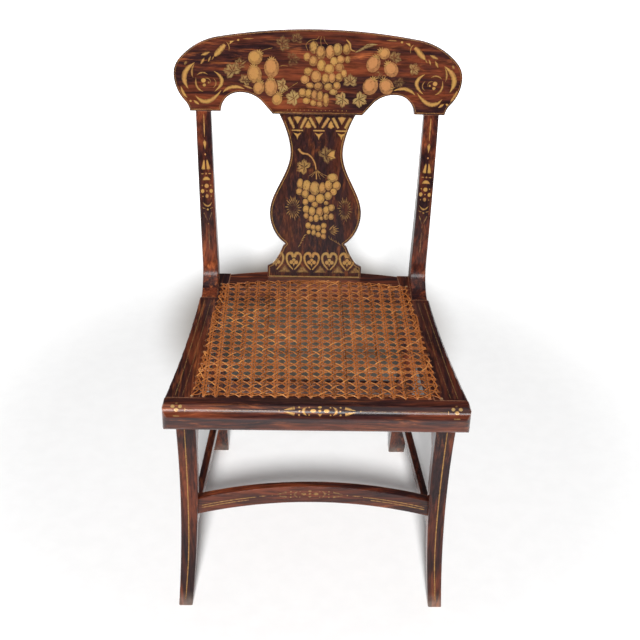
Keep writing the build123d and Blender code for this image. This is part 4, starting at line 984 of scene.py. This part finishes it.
# Each leaf is (u, v, size, angle, tone).
CREST_LEAVES = (
    (-58, 47, 27, 200, 0.85), (-39, 26, 30, 160, 0.9), (-141, 68, 33, 120, 0.7), (-121, 53, 24, 60, 0.7),
    (-60, 113, 30, 30, 0.55), (-36, 121, 24, 80, 0.5), (-44, 89, 29, 10, 0.45), (53, 54, 28, 90, 0.75),
    (42, 26, 29, 210, 0.9), (68, 27, 30, -30, 0.9), (124, 94, 26, 40, 0.6), (156, 77, 24, 10, 0.68),
    (133, 56, 22, 300, 0.5), (-130, 80, 22, 30, 0.6), (98, 66, 18, 20, 0.45),
)
CREST_STEMS = (
    ((4, 112), (3, 120), (4, 127)), ((-18, 104), (-21, 113), (-14, 120), (-3, 122), (0, 127)),
    ((15, 113), (10, 119), (8, 127)), ((-66, 77), (-58, 79), (-50, 78)), ((-62, 31), (-50, 41), (-34, 52)),
    ((-96, 100), (-88, 104), (-76, 107)), ((97, 60), (101, 68), (98, 72)), ((104, 62), (108, 66), (112, 64)),
    ((100, 94), (98, 99), (102, 104)),
)


def crest_stencil():
    lean = radians(CREST_TILT)
    origin = (0, FRONT_Y + CREST_DEPTH, CREST_LEVEL)
    stencil = Stencil("crest_rail", origin, (1, 0, 0), (0, sin(lean), cos(lean)))
    chance = random.Random(4)
    for leaf in CREST_LEAVES:
        stencil.vine_leaf(*leaf)
    stencil.blade(-132, 75, 18, 7, 38, (0.2, 0.6), 0.3)
    for grape in CREST_GRAPES:
        stencil.berry(*grape, chance.uniform(0.35, 0.85), chance.uniform(0.75, 1.0))
    for fruit in CREST_FRUIT:
        stencil.strawberry(*fruit)
    for stem in CREST_STEMS:
        stencil.band(stem, (0.9, 1.3, 0.8), (0.35, 0.75), 0.6, level=1.6)
    stencil.band([(45, 122), (51, 116), (53, 107), (60, 104)], (2, 4, 3, 1), (0.4, 0.95), 0.45)
    for n in range(6):
        stencil.blade(60 + 3.5 * n, 102 + 2.6 * n, 25 - 2 * abs(n - 2), 4.2, 27 - 5 * n, (0.4, 0.8), 0.2)
    for setting in ((-1, 4.0, 1.5), (1, 0.0, 0.0)):
        stencil.setting = setting
        crest_end(stencil)
    for n in range(15):
        stencil.oval(-50 + n * 7.0, 7.0, 1.1, 1.1, (0.3, 0.6), 0.6, 6)
    stencil.pin_line(1.6, 1.3, 0.75, 0.75, 200)
    return stencil


def crest_end(stencil):
    """The scroll, rosette and acanthus at one end of the crest rail."""
    arc, blade, oval = stencil.arc, stencil.blade, stencil.oval
    arc((-202.5, 81.5), (-219, 62), (-213, 39.5), 9)
    arc((-203, 80), (-207, 68), (-205, 57), 4.5, (0.3, 0.8), 0.6)
    arc((-171.5, 68), (-158.5, 53), (-170, 35.5), 6.5)
    arc((-200.5, 58), (-199, 43), (-189, 35), 4, (0.4, 0.85))
    arc((-172.5, 57), (-168, 48.5), (-173, 41), 2.6, (0.3, 0.75))
    arc((-199, 61), (-190.5, 65.5), (-181.5, 62.5), 3.6, (0.3, 0.8))
    arc((-187, 56.5), (-179, 55), (-176.5, 48), 2.2, (0.3, 0.7))
    oval(-188.5, 53, 4.2, 4, (0.4, 0.9))
    oval(-187, 45.5, 3, 2.8, (0.4, 0.8))
    oval(-180, 49.5, 2, 2, (0.3, 0.7), 0.5, 8)
    arc((-201.5, 28.5), (-182, 19), (-159.5, 37.5), 7.5)
    arc((-225, 43), (-221, 32.5), (-214.5, 25), 5)
    blade(-204.5, 20.5, 11, 4.5, -35, BRIGHT, 0.5)
    oval(-209.5, 19.5, 2.4, 2.1, (0.4, 0.8), 0.5, 8)
    blade(-192, 93, 15, 6.5, 22, (0.35, 0.9), 0.45)
    blade(-192.5, 79, 12, 5.5, 62, (0.35, 0.85), 0.55)
    blade(-180.5, 83, 10, 4, 66, (0.35, 0.85), 0.5)
    blade(-174.5, 86, 8.5, 3.2, 62, (0.3, 0.75), 0.5)
    stencil.band([(-170.5, 92), (-163, 100), (-153.5, 110.5)], (2.5, 8, 9.5, 9, 5), BRIGHT, 0.5, 9)
    arc((-151.5, 115), (-147, 109), (-147, 101), 2.6, (0.35, 0.8))
    stencil.patch([(-146.5, 111), (-145.5, 117), (-137.5, 117.5)], (0.5, 0.85))
    oval(-132, 118.5, 2.4, 2, (0.4, 0.8), 0.6, 8)
    blade(-124.5, 120.5, 18, 3, 2, (0.3, 0.8), 0.8)
    arc((-157, 33.5), (-141.5, 43), (-121, 40), 6.2)
    blade(-124, 46, 17, 5, -18, (0.3, 0.85), 0.4)
    blade(-118, 50, 10, 3.4, 20, (0.2, 0.6), 0.3)
    oval(-217, 80.5, 2.4, 4, (0.25, 0.6), 0.4, 8, -30)


# The splat's motifs, on its front face: u across from the middle, v up from the seat.
SPLAT_GRAPES = (
    (-27, 164, 5, 8), (-15.5, 160, 6.3, 9.4), (-2, 156.5, 7.5, 10.6), (11, 157, 5.5, 8.9), (21, 162, 5.5, 8),
    (28, 175, 8, 6.6), (35, 161.5, 6.2, 6.8), (-28, 150.5, 5, 5.4), (-18, 146.5, 5.6, 6.4),
    (30, 151, 4.8, 5.3), (-7.5, 139, 5.9, 5.9), (7.5, 139, 6.5, 7.4), (21, 144, 5.6, 6.4),
    (-17.5, 133, 4.4, 4.7), (-1.5, 128.5, 5, 4.7), (18, 131.5, 3.6, 3.4), (-16, 120.5, 5, 6),
    (-6, 117, 5, 6.8), (7, 116, 5.6, 7.4), (18.5, 119, 5, 6.4), (27, 123.5, 5, 5.2), (-16, 109, 4, 4.3),
    (-7.5, 104, 4.1, 4.8), (1.5, 105, 4, 6), (10, 105, 3, 3.4), (18, 107.5, 4, 4.8), (27, 108, 4, 5.2),
    (-12, 92, 4.4, 4.7), (-3.5, 89, 4, 4.3), (5, 88, 4.4, 4.7), (14.5, 92, 4.4, 4.7), (-11, 80.5, 3, 3.3),
    (-2.5, 79.5, 3.6, 4.3), (5.5, 76.5, 3.9, 4.2), (14.5, 82, 3.9, 4.2), (14.5, 73, 3.9, 4.2),
)
SPLAT_FRILLS = (
    (-38, 122, 13, 20, 0.75, 0.45, 21), (-38, 122, 7.5, 11, 0.5, 0.3, 13),
    (50, 121, 12, 20, 0.65, 0.4, 21), (50, 121, 7, 11, 0.4, 0.3, 13),
)
SPLAT_STALK = ((-31, 223), (-24, 216), (-13.5, 213.5), (-5, 204), (-1, 192), (0.5, 172))
HEART_SCROLL = ((1, 35.5), (4, 42.5), (10.2, 41.5), (12.6, 34), (9.5, 24), (1.2, 13.8))


def splat_stencil():
    origin = (0, FRONT_Y + SPLAT_DEPTH, SEAT_TOP)
    stencil = Stencil("splat", origin, (1, 0, 0), (0, SPLAT_RUN, SPLAT_CLIMB))
    band, patch = stencil.band, stencil.patch
    chance = random.Random(9)
    for middle, half, low in ((-33, 14.5, 257.5), (3, 16, 258.5), (41, 15, 258.5)):
        for side in (-1, 1):
            band([(middle + side * half, 275.5), (middle + side * 5.5, low)], (5.5, 6, 4), BRIGHT, 0.4, 6)
        patch(points_about(middle, ((-7, 276), (0, 278), (7, 276), (0, 264))), (0.5, 0.9), 0.45)
        band([(middle - 9.5, 254), (middle + 9.5, 254)], (2.6, 3, 2.6), BRIGHT, 0.45, 5)
        spear = ((-7.5, 250.5), (0, 248.5), (7.5, 250.5), (2, 244), (0, 238), (-2, 244))
        patch(points_about(middle, spear), (0.5, 0.9))
    for middle in (-15, 23):
        drop = ((-5.6, 260), (-3.6, 266), (0, 271.5), (3.6, 266), (5.6, 260), (0, 257))
        patch(points_about(middle, drop), (0.5, 0.9), 0.6)
    band(SPLAT_STALK, (4.5, 4, 3.2, 2.6, 2.2), (0.45, 0.95), 0.75, 18, 1.6)
    stencil.vine_leaf(15, 212, 34, 40, 0.62, 0.3)
    patch([(20, 220), (32, 222.5), (30, 212), (33, 208), (24, 205), (17, 210)], (0.4, 0.85), 0.55)
    stencil.vine_leaf(-20, 192, 30, 150, 0.75, 0.4)
    for end in ((-13, 177), (-8, 176), (7, 172), (14, 175), (21, 177)):
        band([(0.5, 188), (end[0] * 0.5, 181), end], (1.6, 1.3, 1.0), (0.3, 0.75), 0.5, 5, 1.6)
    for u, v, half_u, half_v in SPLAT_GRAPES:
        stencil.berry(u, v, 1.1 * half_u, 1.1 * half_v, chance.uniform(0.4, 0.75), chance.uniform(0.85, 1.0))
    for frill in SPLAT_FRILLS:
        stencil.frill(*frill)
    for n in range(6):
        fan = n / 5 - 0.5
        stencil.blade(24, 84, 18 * (1 - 0.5 * abs(fan)), 5.0, 5 + 90 * fan, (0.15, 0.8), 0.45)
    for n in range(5):
        frond = (-14 - 2.6 * n, 76 - 4.6 * n), (-18 - 2.2 * n, 74.5 - 4.6 * n), (-21 - 2 * n, 70 - 4.4 * n)
        stencil.arc(*frond, 1.8, (0.3, 0.8), 0.5, 5)
        frond = (24 + 4 * n, 75 - 2.6 * n), (25 + 4.2 * n, 70 - 2.4 * n), (30 + 4 * n, 67.5 - 2.4 * n)
        stencil.arc(*frond, 1.6, (0.3, 0.7), 0.5, 5)
    for number in range(5):
        heart(stencil, -66.5 + 30.7 * number, number > 0, 0.35 + 0.1 * number % 0.3)
    for number in range(5):
        patch(points_about(-51.2 + 30.7 * number, ((-12, 8.5), (12, 8.5), (0, 22.5))), (0.35, 0.6, 0.65), 0.4)
    stencil.pin_line(2.2, 1.5, 0.85, 0.55, 270)
    band([(-78, 1.6), (78, 1.6)], (2.0, 2.2, 2.0), (0.5, 0.95), 0.3, 9)
    return stencil


def points_about(middle, points):
    return [(middle + u, v) for u, v in points]


def heart(stencil, middle, whole, warmth):
    """A heart of two scrolls round a trefoil."""
    for side in (-1, 1) if whole else (1,):
        path = [(middle + side * u, v) for u, v in HEART_SCROLL]
        stencil.band(path, (4.6, 6.0, 4.4, 4.0, 3.4, 2.0), (0.6, 0.95), warmth, 16)
    for du, dv, half in ((0, 31.0, 3.4), (-4.2, 27.0, 3.9), (4.2, 27.0, 3.9)):
        stencil.oval(middle + du, dv, half, half, (0.4, 0.9), warmth, 9)
    stencil.patch(points_about(middle, ((-2.6, 25.5), (2.6, 25.5), (0, 18.5))), (0.4, 0.85), warmth)


def stile_stencil(side, name):
    """A string of small shapes down a stile; v runs down from the crest rail."""
    run = Vector((side * (STILE_FOOT_MIDDLE - STILE_TOP_MIDDLE), -STILE_LEAN, -STILE_CLIMB))
    origin = (side * STILE_TOP_MIDDLE, FRONT_Y + CREST_DEPTH + 4, CREST_LEVEL + 2)
    stencil = Stencil("stile_" + name, origin, Vector((0, -1, 0)).cross(run), -run)
    blade, oval, band, patch = stencil.blade, stencil.oval, stencil.band, stencil.patch
    band([(0, -5), (0, -24), (0, -41)], (1.4, 2.6, 3.0, 2.4, 0.8), (0.4, 0.95), 0.75, 14)
    patch([(-2.9, -50), (0, -45), (2.9, -50), (1.6, -56), (0, -62.5), (-1.6, -56)], (0.5, 0.9), 0.6)
    oval(0, -70, 1.8, 1.8, (0.4, 0.8), 0.9, 8)
    for turn in (-1, 1):
        petal = ((1.3, -79), (3.4, -79), (7.4, -94), (5, -95.5), (1.3, -95))
        patch([(turn * u, v) for u, v in petal], (0.55, 0.95), 0.55)
        blade(turn * 3.5, -102, 5, 2.4, 90 - turn * 90, (0.4, 0.85), 0.7)
        oval(turn * 7, -121.5, 1.4, 1.5, (0.3, 0.7), 0.5, 7)
        oval(turn * 7.2, -131, 3.2, 3.8, (0.45, 0.9), 0.5, 10)
        oval(turn * 7, -140, 1.4, 1.5, (0.25, 0.6), 0.5, 7)
        blade(turn * 3.5, -161, 6, 1.8, 90 - turn * 72, (0.3, 0.8), 0.5)
        band([(turn * 6.5, -168), (turn * 4.5, -173), (turn * 1.6, -181)], (3.6, 3.4, 0.8), (0.2, 0.6), 0.4)
    oval(0, -102, 1.8, 1.8, (0.4, 0.8), 0.8, 8)
    patch([(-7, -113), (-5.4, -109.5), (-2.4, -107), (2.4, -107), (5.4, -109.5), (7, -113)], (0.5, 0.9), 0.55)
    oval(0, -122.5, 3.8, 3.9, (0.5, 0.95), 0.55)
    oval(0, -131, 1.3, 1.3, (0.4, 0.8), 0.8, 7)
    oval(0, -139.5, 3.2, 4, (0.3, 0.7), 0.75, 10)
    stencil.arc((-7.6, -150), (0, -156.5), (7.6, -150), 4, (0.35, 0.85))
    oval(0, -162.5, 2, 2, (0.3, 0.65, 0.7), 0.5, 8)
    oval(0, -187, 1.3, 1.5, (0.2, 0.5), 0.6, 7)
    band([(0, -197), (0, -215), (0, -232)], (0.8, 2, 2.2, 2), (0.25, 0.62), 0.8, 10)
    return stencil


def front_rail_stencil():
    """The middle motif, its long lines and the corner flowers, on the roll of the front rail."""
    stencil = Stencil("seat_rail_front", (0, FRONT_Y, SEAT_TOP), (1, 0, 0), (0, 1, 1))
    band, middle = stencil.band, 4.0
    row_of_shapes(stencil, middle, 1.0)
    for side in (-1, 1):
        corner = side * 203
        band([(middle + side * 57, 1.5), (side * 189, 1.5)], (1.0, 1.8, 1.8, 1.8), (0.25, 0.55), 0.3, 30)
        band([(side * 190.5, -1), (side * 190.5, 4)], (1.2, 1.6, 1.2), (0.4, 0.9), 0.4, 4)
        for du, dv, half in ((-5.4, 6.4, 3.6), (5.4, 6.4, 3.6), (0, 1, 3.8)):
            stencil.oval(corner + du, dv, half, half * 0.9, (0.25, 0.8), 0.3, 10)
        stencil.oval(corner, 11.6, 2.6, 2, (0.2, 0.5), 0.3, 8)
        band([(corner - 4.4, -7.5), (corner + 4.4, -7.5)], (2, 2.6, 2), (0.3, 0.8), 0.3, 4)
    return stencil


def row_of_shapes(stencil, middle, strength):
    """A symmetric row: paired blades, dots, a bow and blobs on each side of a small flower."""
    tones = (0.45 * strength, 0.95 * strength, 0.95 * strength)
    level = 1.5

    def dot(du, dv, half_u, half_v, warmth, sides):
        stencil.oval(middle + du, level + dv, half_u, half_v, tones, warmth, sides)

    for side in (-1, 1):
        for rise in (-1, 1):
            blade = [(middle + side * 52, level + rise * 1.2), (middle + side * 36.5, level + rise * 4.6)]
            stencil.band(blade, (0.4, 2.6, 4.8, 5.2), tones, 0.4, 6)
            dot(side * 30, rise * 5.6, 1.7, 1.5, 0.4, 7)
            dot(side * 15.5, rise * 5.6, 1.3, 1.2, 0.5, 7)
        dot(side * 29.5, 0, 1.6, 1.5, 0.6, 7)
        bow = [(middle + side * du, level + dv) for du, dv in ((19, 6.2), (24, 0), (19, -6.2))]
        stencil.arc(*bow, 5.4, tones, 0.45, 9)
        dot(side * 9.6, 0.5, 4.6, 3, 0.5, 10)
        dot(side * 59, 0, 1.3, 1.2, 0.5, 7)
    dot(0, 6, 3.2, 2, 0.5, 9)
    dot(0, 0.6, 2.4, 2.2, 0.5, 8)
    stencil.patch([(middle - 3.6, level - 3.6), (middle + 3.6, level - 3.6), (middle, level - 8)], tones)


def front_stretcher_stencil():
    """The same row of shapes on the bowed front stretcher, with a line out to each leg."""
    origin, middle = (0, FRONT_Y + STRETCHER_DEPTH, STRETCHER_LEVEL), -6.0
    stencil = Stencil("front_stretcher", origin, (1, 0, 0), (0, 0, 1),
                      lambda u: STRETCHER_RISE * (1 - (u / STRETCHER_HALF) ** 2))
    row_of_shapes(stencil, middle, 0.62)
    for side in (-1, 1):
        stencil.blade(middle + side * 67, 1.5, 13, 2.8, 90 - side * 90, (0.3, 0.7), 0.6)
        for level, start in ((1.0, 84), (-3.4, 96)):
            path = [(middle + side * start, level), (middle + side * 120, level), (side * 176, level)]
            stencil.band(path, (1.6, 2.4, 2.2), (0.4, 0.75), 0.65, 24)
    return stencil


def front_leg_stripe(side, name):
    """One bronze line down the front of a leg."""
    stencil = Stencil("front_leg_" + name, (0, FRONT_Y, 0), (1, 0, 0), (0, 0, 1))
    middle = ((194.2, 385), (194.6, 330), (195.2, 270), (196.6, 190), (199.5, 110), (205, 40), (207.4, 14))
    stencil.band([(side * u, v) for u, v in middle], (1.6, 2.2, 2.2, 2.0, 1.4), (0.45, 0.85), 0.6, 40)
    return stencil


def side_rail_stripes(side, name):
    """Two pale lines along the top of a side rail."""
    stencil = Stencil("seat_rail_" + name, (0, FRONT_Y, SEAT_TOP), (1, 0, 0), (0, 1, 0))
    outer = ((213.5, 36), (206.5, 110), (201, 180), (195.5, 250), (190, 320))
    for inward, tone in ((6.5, 0.62), (17, 0.5)):
        stencil.band([(side * (u - inward), v) for u, v in outer], (1.8, 1.8), (0.5 * tone, tone), 0.2, 30)
    return stencil


# ---------------------------------------------------------------------------------------------
# Operators


class CHAIR_OT_stage(bpy.types.Operator):
    """Pale floor, soft window light and the camera"""

    bl_idname = "chair.stage"
    bl_label = "Floor, light and camera"

    def execute(self, context):
        stage = context.scene.chair_stage
        mesh = bpy.data.meshes.new("floor")
        corners = [(x * FLOOR_HALF, y * FLOOR_HALF, 0) for x, y in ((-1, -1), (1, -1), (1, 1), (-1, 1))]
        mesh.from_pydata(corners, [], [(0, 1, 2, 3)])
        mesh.materials.append(floor_finish(stage))
        ground = link_piece("floor", mesh)
        chair_lit = self.link_group("lights_the_chair", ground, "EXCLUDE")
        for name, place, size, watts in (
            ("window", (-0.4, -1.75, 2.9), (2.8, 0.6), 78.0),
            ("window_left", (-1.7, -2.6, 1.2), (1.0, 1.4), 22.0),
            ("window_right", (2.1, -2.2, 1.5), (1.0, 1.2), 13.0),
            ("ceiling", (0.0, -0.2, 3.2), (2.0, 2.0), 12.0),
        ):
            self.add_lamp(name, "RECTANGLE", size, watts * stage.window, place, (0, 0, 0.5), chair_lit)
        self.add_floor_lamp(self.link_group("lights_the_floor", ground, "INCLUDE"))
        self.add_world(context.scene)
        self.add_camera(context.scene)
        return {"FINISHED"}

    def link_group(self, name, thing, state):
        """A collection that says whether a lamp reaches one object."""
        group = bpy.data.collections.new(name)
        group.objects.link(thing)
        group.collection_objects[0].light_linking.link_state = state
        return group

    def add_lamp(self, name, shape, size, power, place, target, receivers):
        data = bpy.data.lights.new(name, "AREA")
        data.shape = shape
        data.size, data.size_y = size
        data.energy = power
        lamp = link_piece(name, data)
        lamp.location = place
        lamp.rotation_euler = (Vector(target) - Vector(place)).to_track_quat("-Z", "Y").to_euler()
        lamp.light_linking.receiver_collection = receivers
        return data

    def add_floor_lamp(self, receivers):
        """A light on the floor alone, from the front and even over distance: the shadow falls behind."""
        place, target = (-0.12, -3.65, 2.6), (0, 0.6, 0)
        data = self.add_lamp("floor_light", "DISK", (0.5, 0.5), 1.0, place, target, receivers)
        data.use_nodes = True
        tree = data.node_tree
        tree.nodes.clear()
        falloff = put(tree, "ShaderNodeLightFalloff", {"Strength": FLOOR_LIGHT}, "Constant")
        glow = put(tree, "ShaderNodeEmission", {"Strength": falloff})
        put(tree, "ShaderNodeOutputLight", {"Surface": glow})

    def add_world(self, scene):
        """A dim sky that is white to the camera, with a white horizon in reflections."""
        world = bpy.data.worlds.new("studio")
        scene.world = world
        world.use_nodes = True
        tree = world.node_tree
        tree.nodes.clear()
        rays = put(tree, "ShaderNodeLightPath", pick=None)
        height = put(tree, "ShaderNodeSeparateXYZ", (put(tree, "ShaderNodeTexCoord", pick="Generated"),), "Z")
        horizon = height.maths("ABSOLUTE").graded(0.0, 0.08, 1.0, 0.05)
        strength = put(tree, "ShaderNodeMix", {"Factor": rays["Is Glossy Ray"], "A": 0.2, "B": horizon})
        seen = rays["Is Camera Ray"].maths("MAXIMUM", rays["Is Transmission Ray"])
        sockets = {"Color": (1.0, 1.0, 1.0), "Strength": strength.maths("MAXIMUM", seen)}
        put(tree, "ShaderNodeOutputWorld", {"Surface": put(tree, "ShaderNodeBackground", sockets)})

    def add_camera(self, scene):
        data = bpy.data.cameras.new("camera")
        data.sensor_width = 36.0
        data.lens = 65.16
        pitch, yaw, roll = radians(30.37), radians(1.72), radians(1.67)
        ahead = Vector((sin(yaw) * cos(pitch), cos(yaw) * cos(pitch), -sin(pitch)))
        right = Vector((cos(yaw), -sin(yaw), 0))
        up = right.cross(ahead)
        rows = Matrix((cos(roll) * right + sin(roll) * up, cos(roll) * up - sin(roll) * right, -ahead))
        place = (-0.041, -1.6314, 1.3905)
        camera = link_piece("camera", data)
        camera.matrix_world = Matrix.Translation(place) @ rows.transposed().to_4x4()
        scene.camera = camera
        scene.view_settings.view_transform = "Standard"


class CHAIR_OT_grained_paint(bpy.types.Operator):
    """Grained and varnished paint on the rails, legs, stiles, splat and stretchers"""

    bl_idname = "chair.grained_paint"
    bl_label = "Grained paint"

    def execute(self, context):
        for name, axis, redness, gloss, nodes in PAINTS:
            material = painted_finish(name, axis, redness, gloss)
            for node in nodes:
                dress(node, material)
        return {"FINISHED"}


class CHAIR_OT_fittings(bpy.types.Operator):
    """Bare wood on the pegs and pins, dull iron on the screws"""

    bl_idname = "chair.fittings"
    bl_label = "Pegs, pins and screws"

    def execute(self, context):
        wood = bare_wood_finish()
        dress("cane_pegs", wood)
        dress("crest_pins", wood)
        dress("stile_screws", iron_finish())
        return {"FINISHED"}


class CHAIR_OT_cane(bpy.types.Operator):
    """Hand-woven cane: pairs front to back and side to side, and two sets of diagonals"""

    bl_idname = "chair.cane"
    bl_label = "Woven cane"

    def execute(self, context):
        cane = context.scene.chair_cane
        first_row, half, across = (FRONT_Y + CANE_FRONT) * MM, CELL / 2 * MM, (1, 0, 0)
        pair = {"Width": cane.strand_width, "Wave": cane.pair_wave, "Step": PAIR_STEP * MM, "Most tone": 0.75}
        single = {"Width": cane.diagonal_width, "Wave": cane.diagonal_wave, "Step": DIAGONAL_STEP * MM,
                  "Least tone": 0.25, "Most tone": 1.0}
        common = {"Cell": CELL * MM, "Reach": cane.pair_gap, "Thickness": cane.strand_thickness,
                  "Material": cane_finish()}
        pairs, singles = strand_tree("Woven pair", True), strand_tree("Woven diagonal", False)
        for name, node, strands, tree, look, axis, first, seed in (
            ("front_to_back", "cane_square_weave", pair_strands(True), pairs, pair, (0, 1, 0), first_row, 0),
            ("side_to_side", "cane_strand_ends", pair_strands(False), pairs, pair, across, half, 1),
            ("diagonals_a", "cane_diagonals_lower", diagonal_strands(1.0), singles, single, across, half, 7),
            ("diagonals_b", "cane_diagonals_upper", diagonal_strands(-1.0), singles, single, across, half, 8),
        ):
            values = {**common, **look, "Across": axis, "First crossing": first, "Seed": seed}
            piece = grown("cane_" + name, strand_routes(name, strands), tree, values)
            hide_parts(node)
            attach(piece, "root")
        return {"FINISHED"}


class CHAIR_OT_back_stencils(bpy.types.Operator):
    """Grapes, strawberries and scrolls on the crest rail, splat and stiles"""

    bl_idname = "chair.back_stencils"
    bl_label = "Stencils on the back"

    def execute(self, context):
        crest_stencil().piece("crest_stencil", bronze_finish("bronze_along", 0))
        splat_stencil().piece("splat_stencil", bronze_finish("bronze_splat", 2, SPLAT_REDNESS))
        upright = bronze_finish("bronze_upright", 2)
        for side, name in SIDES:
            stile_stencil(side, name).piece("stile_stencil_" + name, upright)
        return {"FINISHED"}


class CHAIR_OT_seat_stencils(bpy.types.Operator):
    """Motifs and lines on the seat rails, the front legs and the front stretcher"""

    bl_idname = "chair.seat_stencils"
    bl_label = "Stencils below the back"

    def execute(self, context):
        along = bronze_finish("bronze_front", 0)
        fore_and_aft = bronze_finish("bronze_side", 1)
        # Redness 1.1, as on the grained uprights, is partly a painted sheen.
        upright = bronze_finish("bronze_leg", 2, 1.1, 0.25)
        front_rail_stencil().piece("front_rail_stencil", along)
        front_stretcher_stencil().piece("front_stretcher_stencil", along)
        for side, name in SIDES:
            front_leg_stripe(side, name).piece("front_leg_stripe_" + name, upright)
            side_rail_stripes(side, name).piece("side_rail_stripes_" + name, fore_and_aft)
        return {"FINISHED"}


OPERATORS = (
    CHAIR_OT_stage,
    CHAIR_OT_grained_paint,
    CHAIR_OT_fittings,
    CHAIR_OT_cane,
    CHAIR_OT_back_stencils,
    CHAIR_OT_seat_stencils,
)
SETTINGS = (
    ("chair_paint", ChairPaint),
    ("chair_stencil", ChairStencil),
    ("chair_cane", ChairCane),
    ("chair_stage", ChairStage),
)


class CHAIR_PT_panel(bpy.types.Panel):
    bl_idname = "CHAIR_PT_panel"
    bl_label = "Stenciled side chair"
    bl_space_type = "VIEW_3D"
    bl_region_type = "UI"
    bl_category = "Chair"

    def draw(self, context):
        for operator in OPERATORS:
            self.layout.operator(operator.bl_idname)
        for name, group in SETTINGS:
            box = self.layout.box()
            for field in group.__annotations__:
                box.prop(getattr(context.scene, name), field)


def register():
    for name, group in SETTINGS:
        bpy.utils.register_class(group)
        setattr(bpy.types.Scene, name, PointerProperty(type=group))
    for operator in OPERATORS:
        bpy.utils.register_class(operator)
    bpy.utils.register_class(CHAIR_PT_panel)


def unregister():
    bpy.utils.unregister_class(CHAIR_PT_panel)
    for operator in reversed(OPERATORS):
        bpy.utils.unregister_class(operator)
    for name, group in reversed(SETTINGS):
        delattr(bpy.types.Scene, name)
        bpy.utils.unregister_class(group)


def main():
    register()
    for operator in OPERATORS:
        family, action = operator.bl_idname.split(".")
        getattr(getattr(bpy.ops, family), action)()


if __name__ == "__main__":
    main()
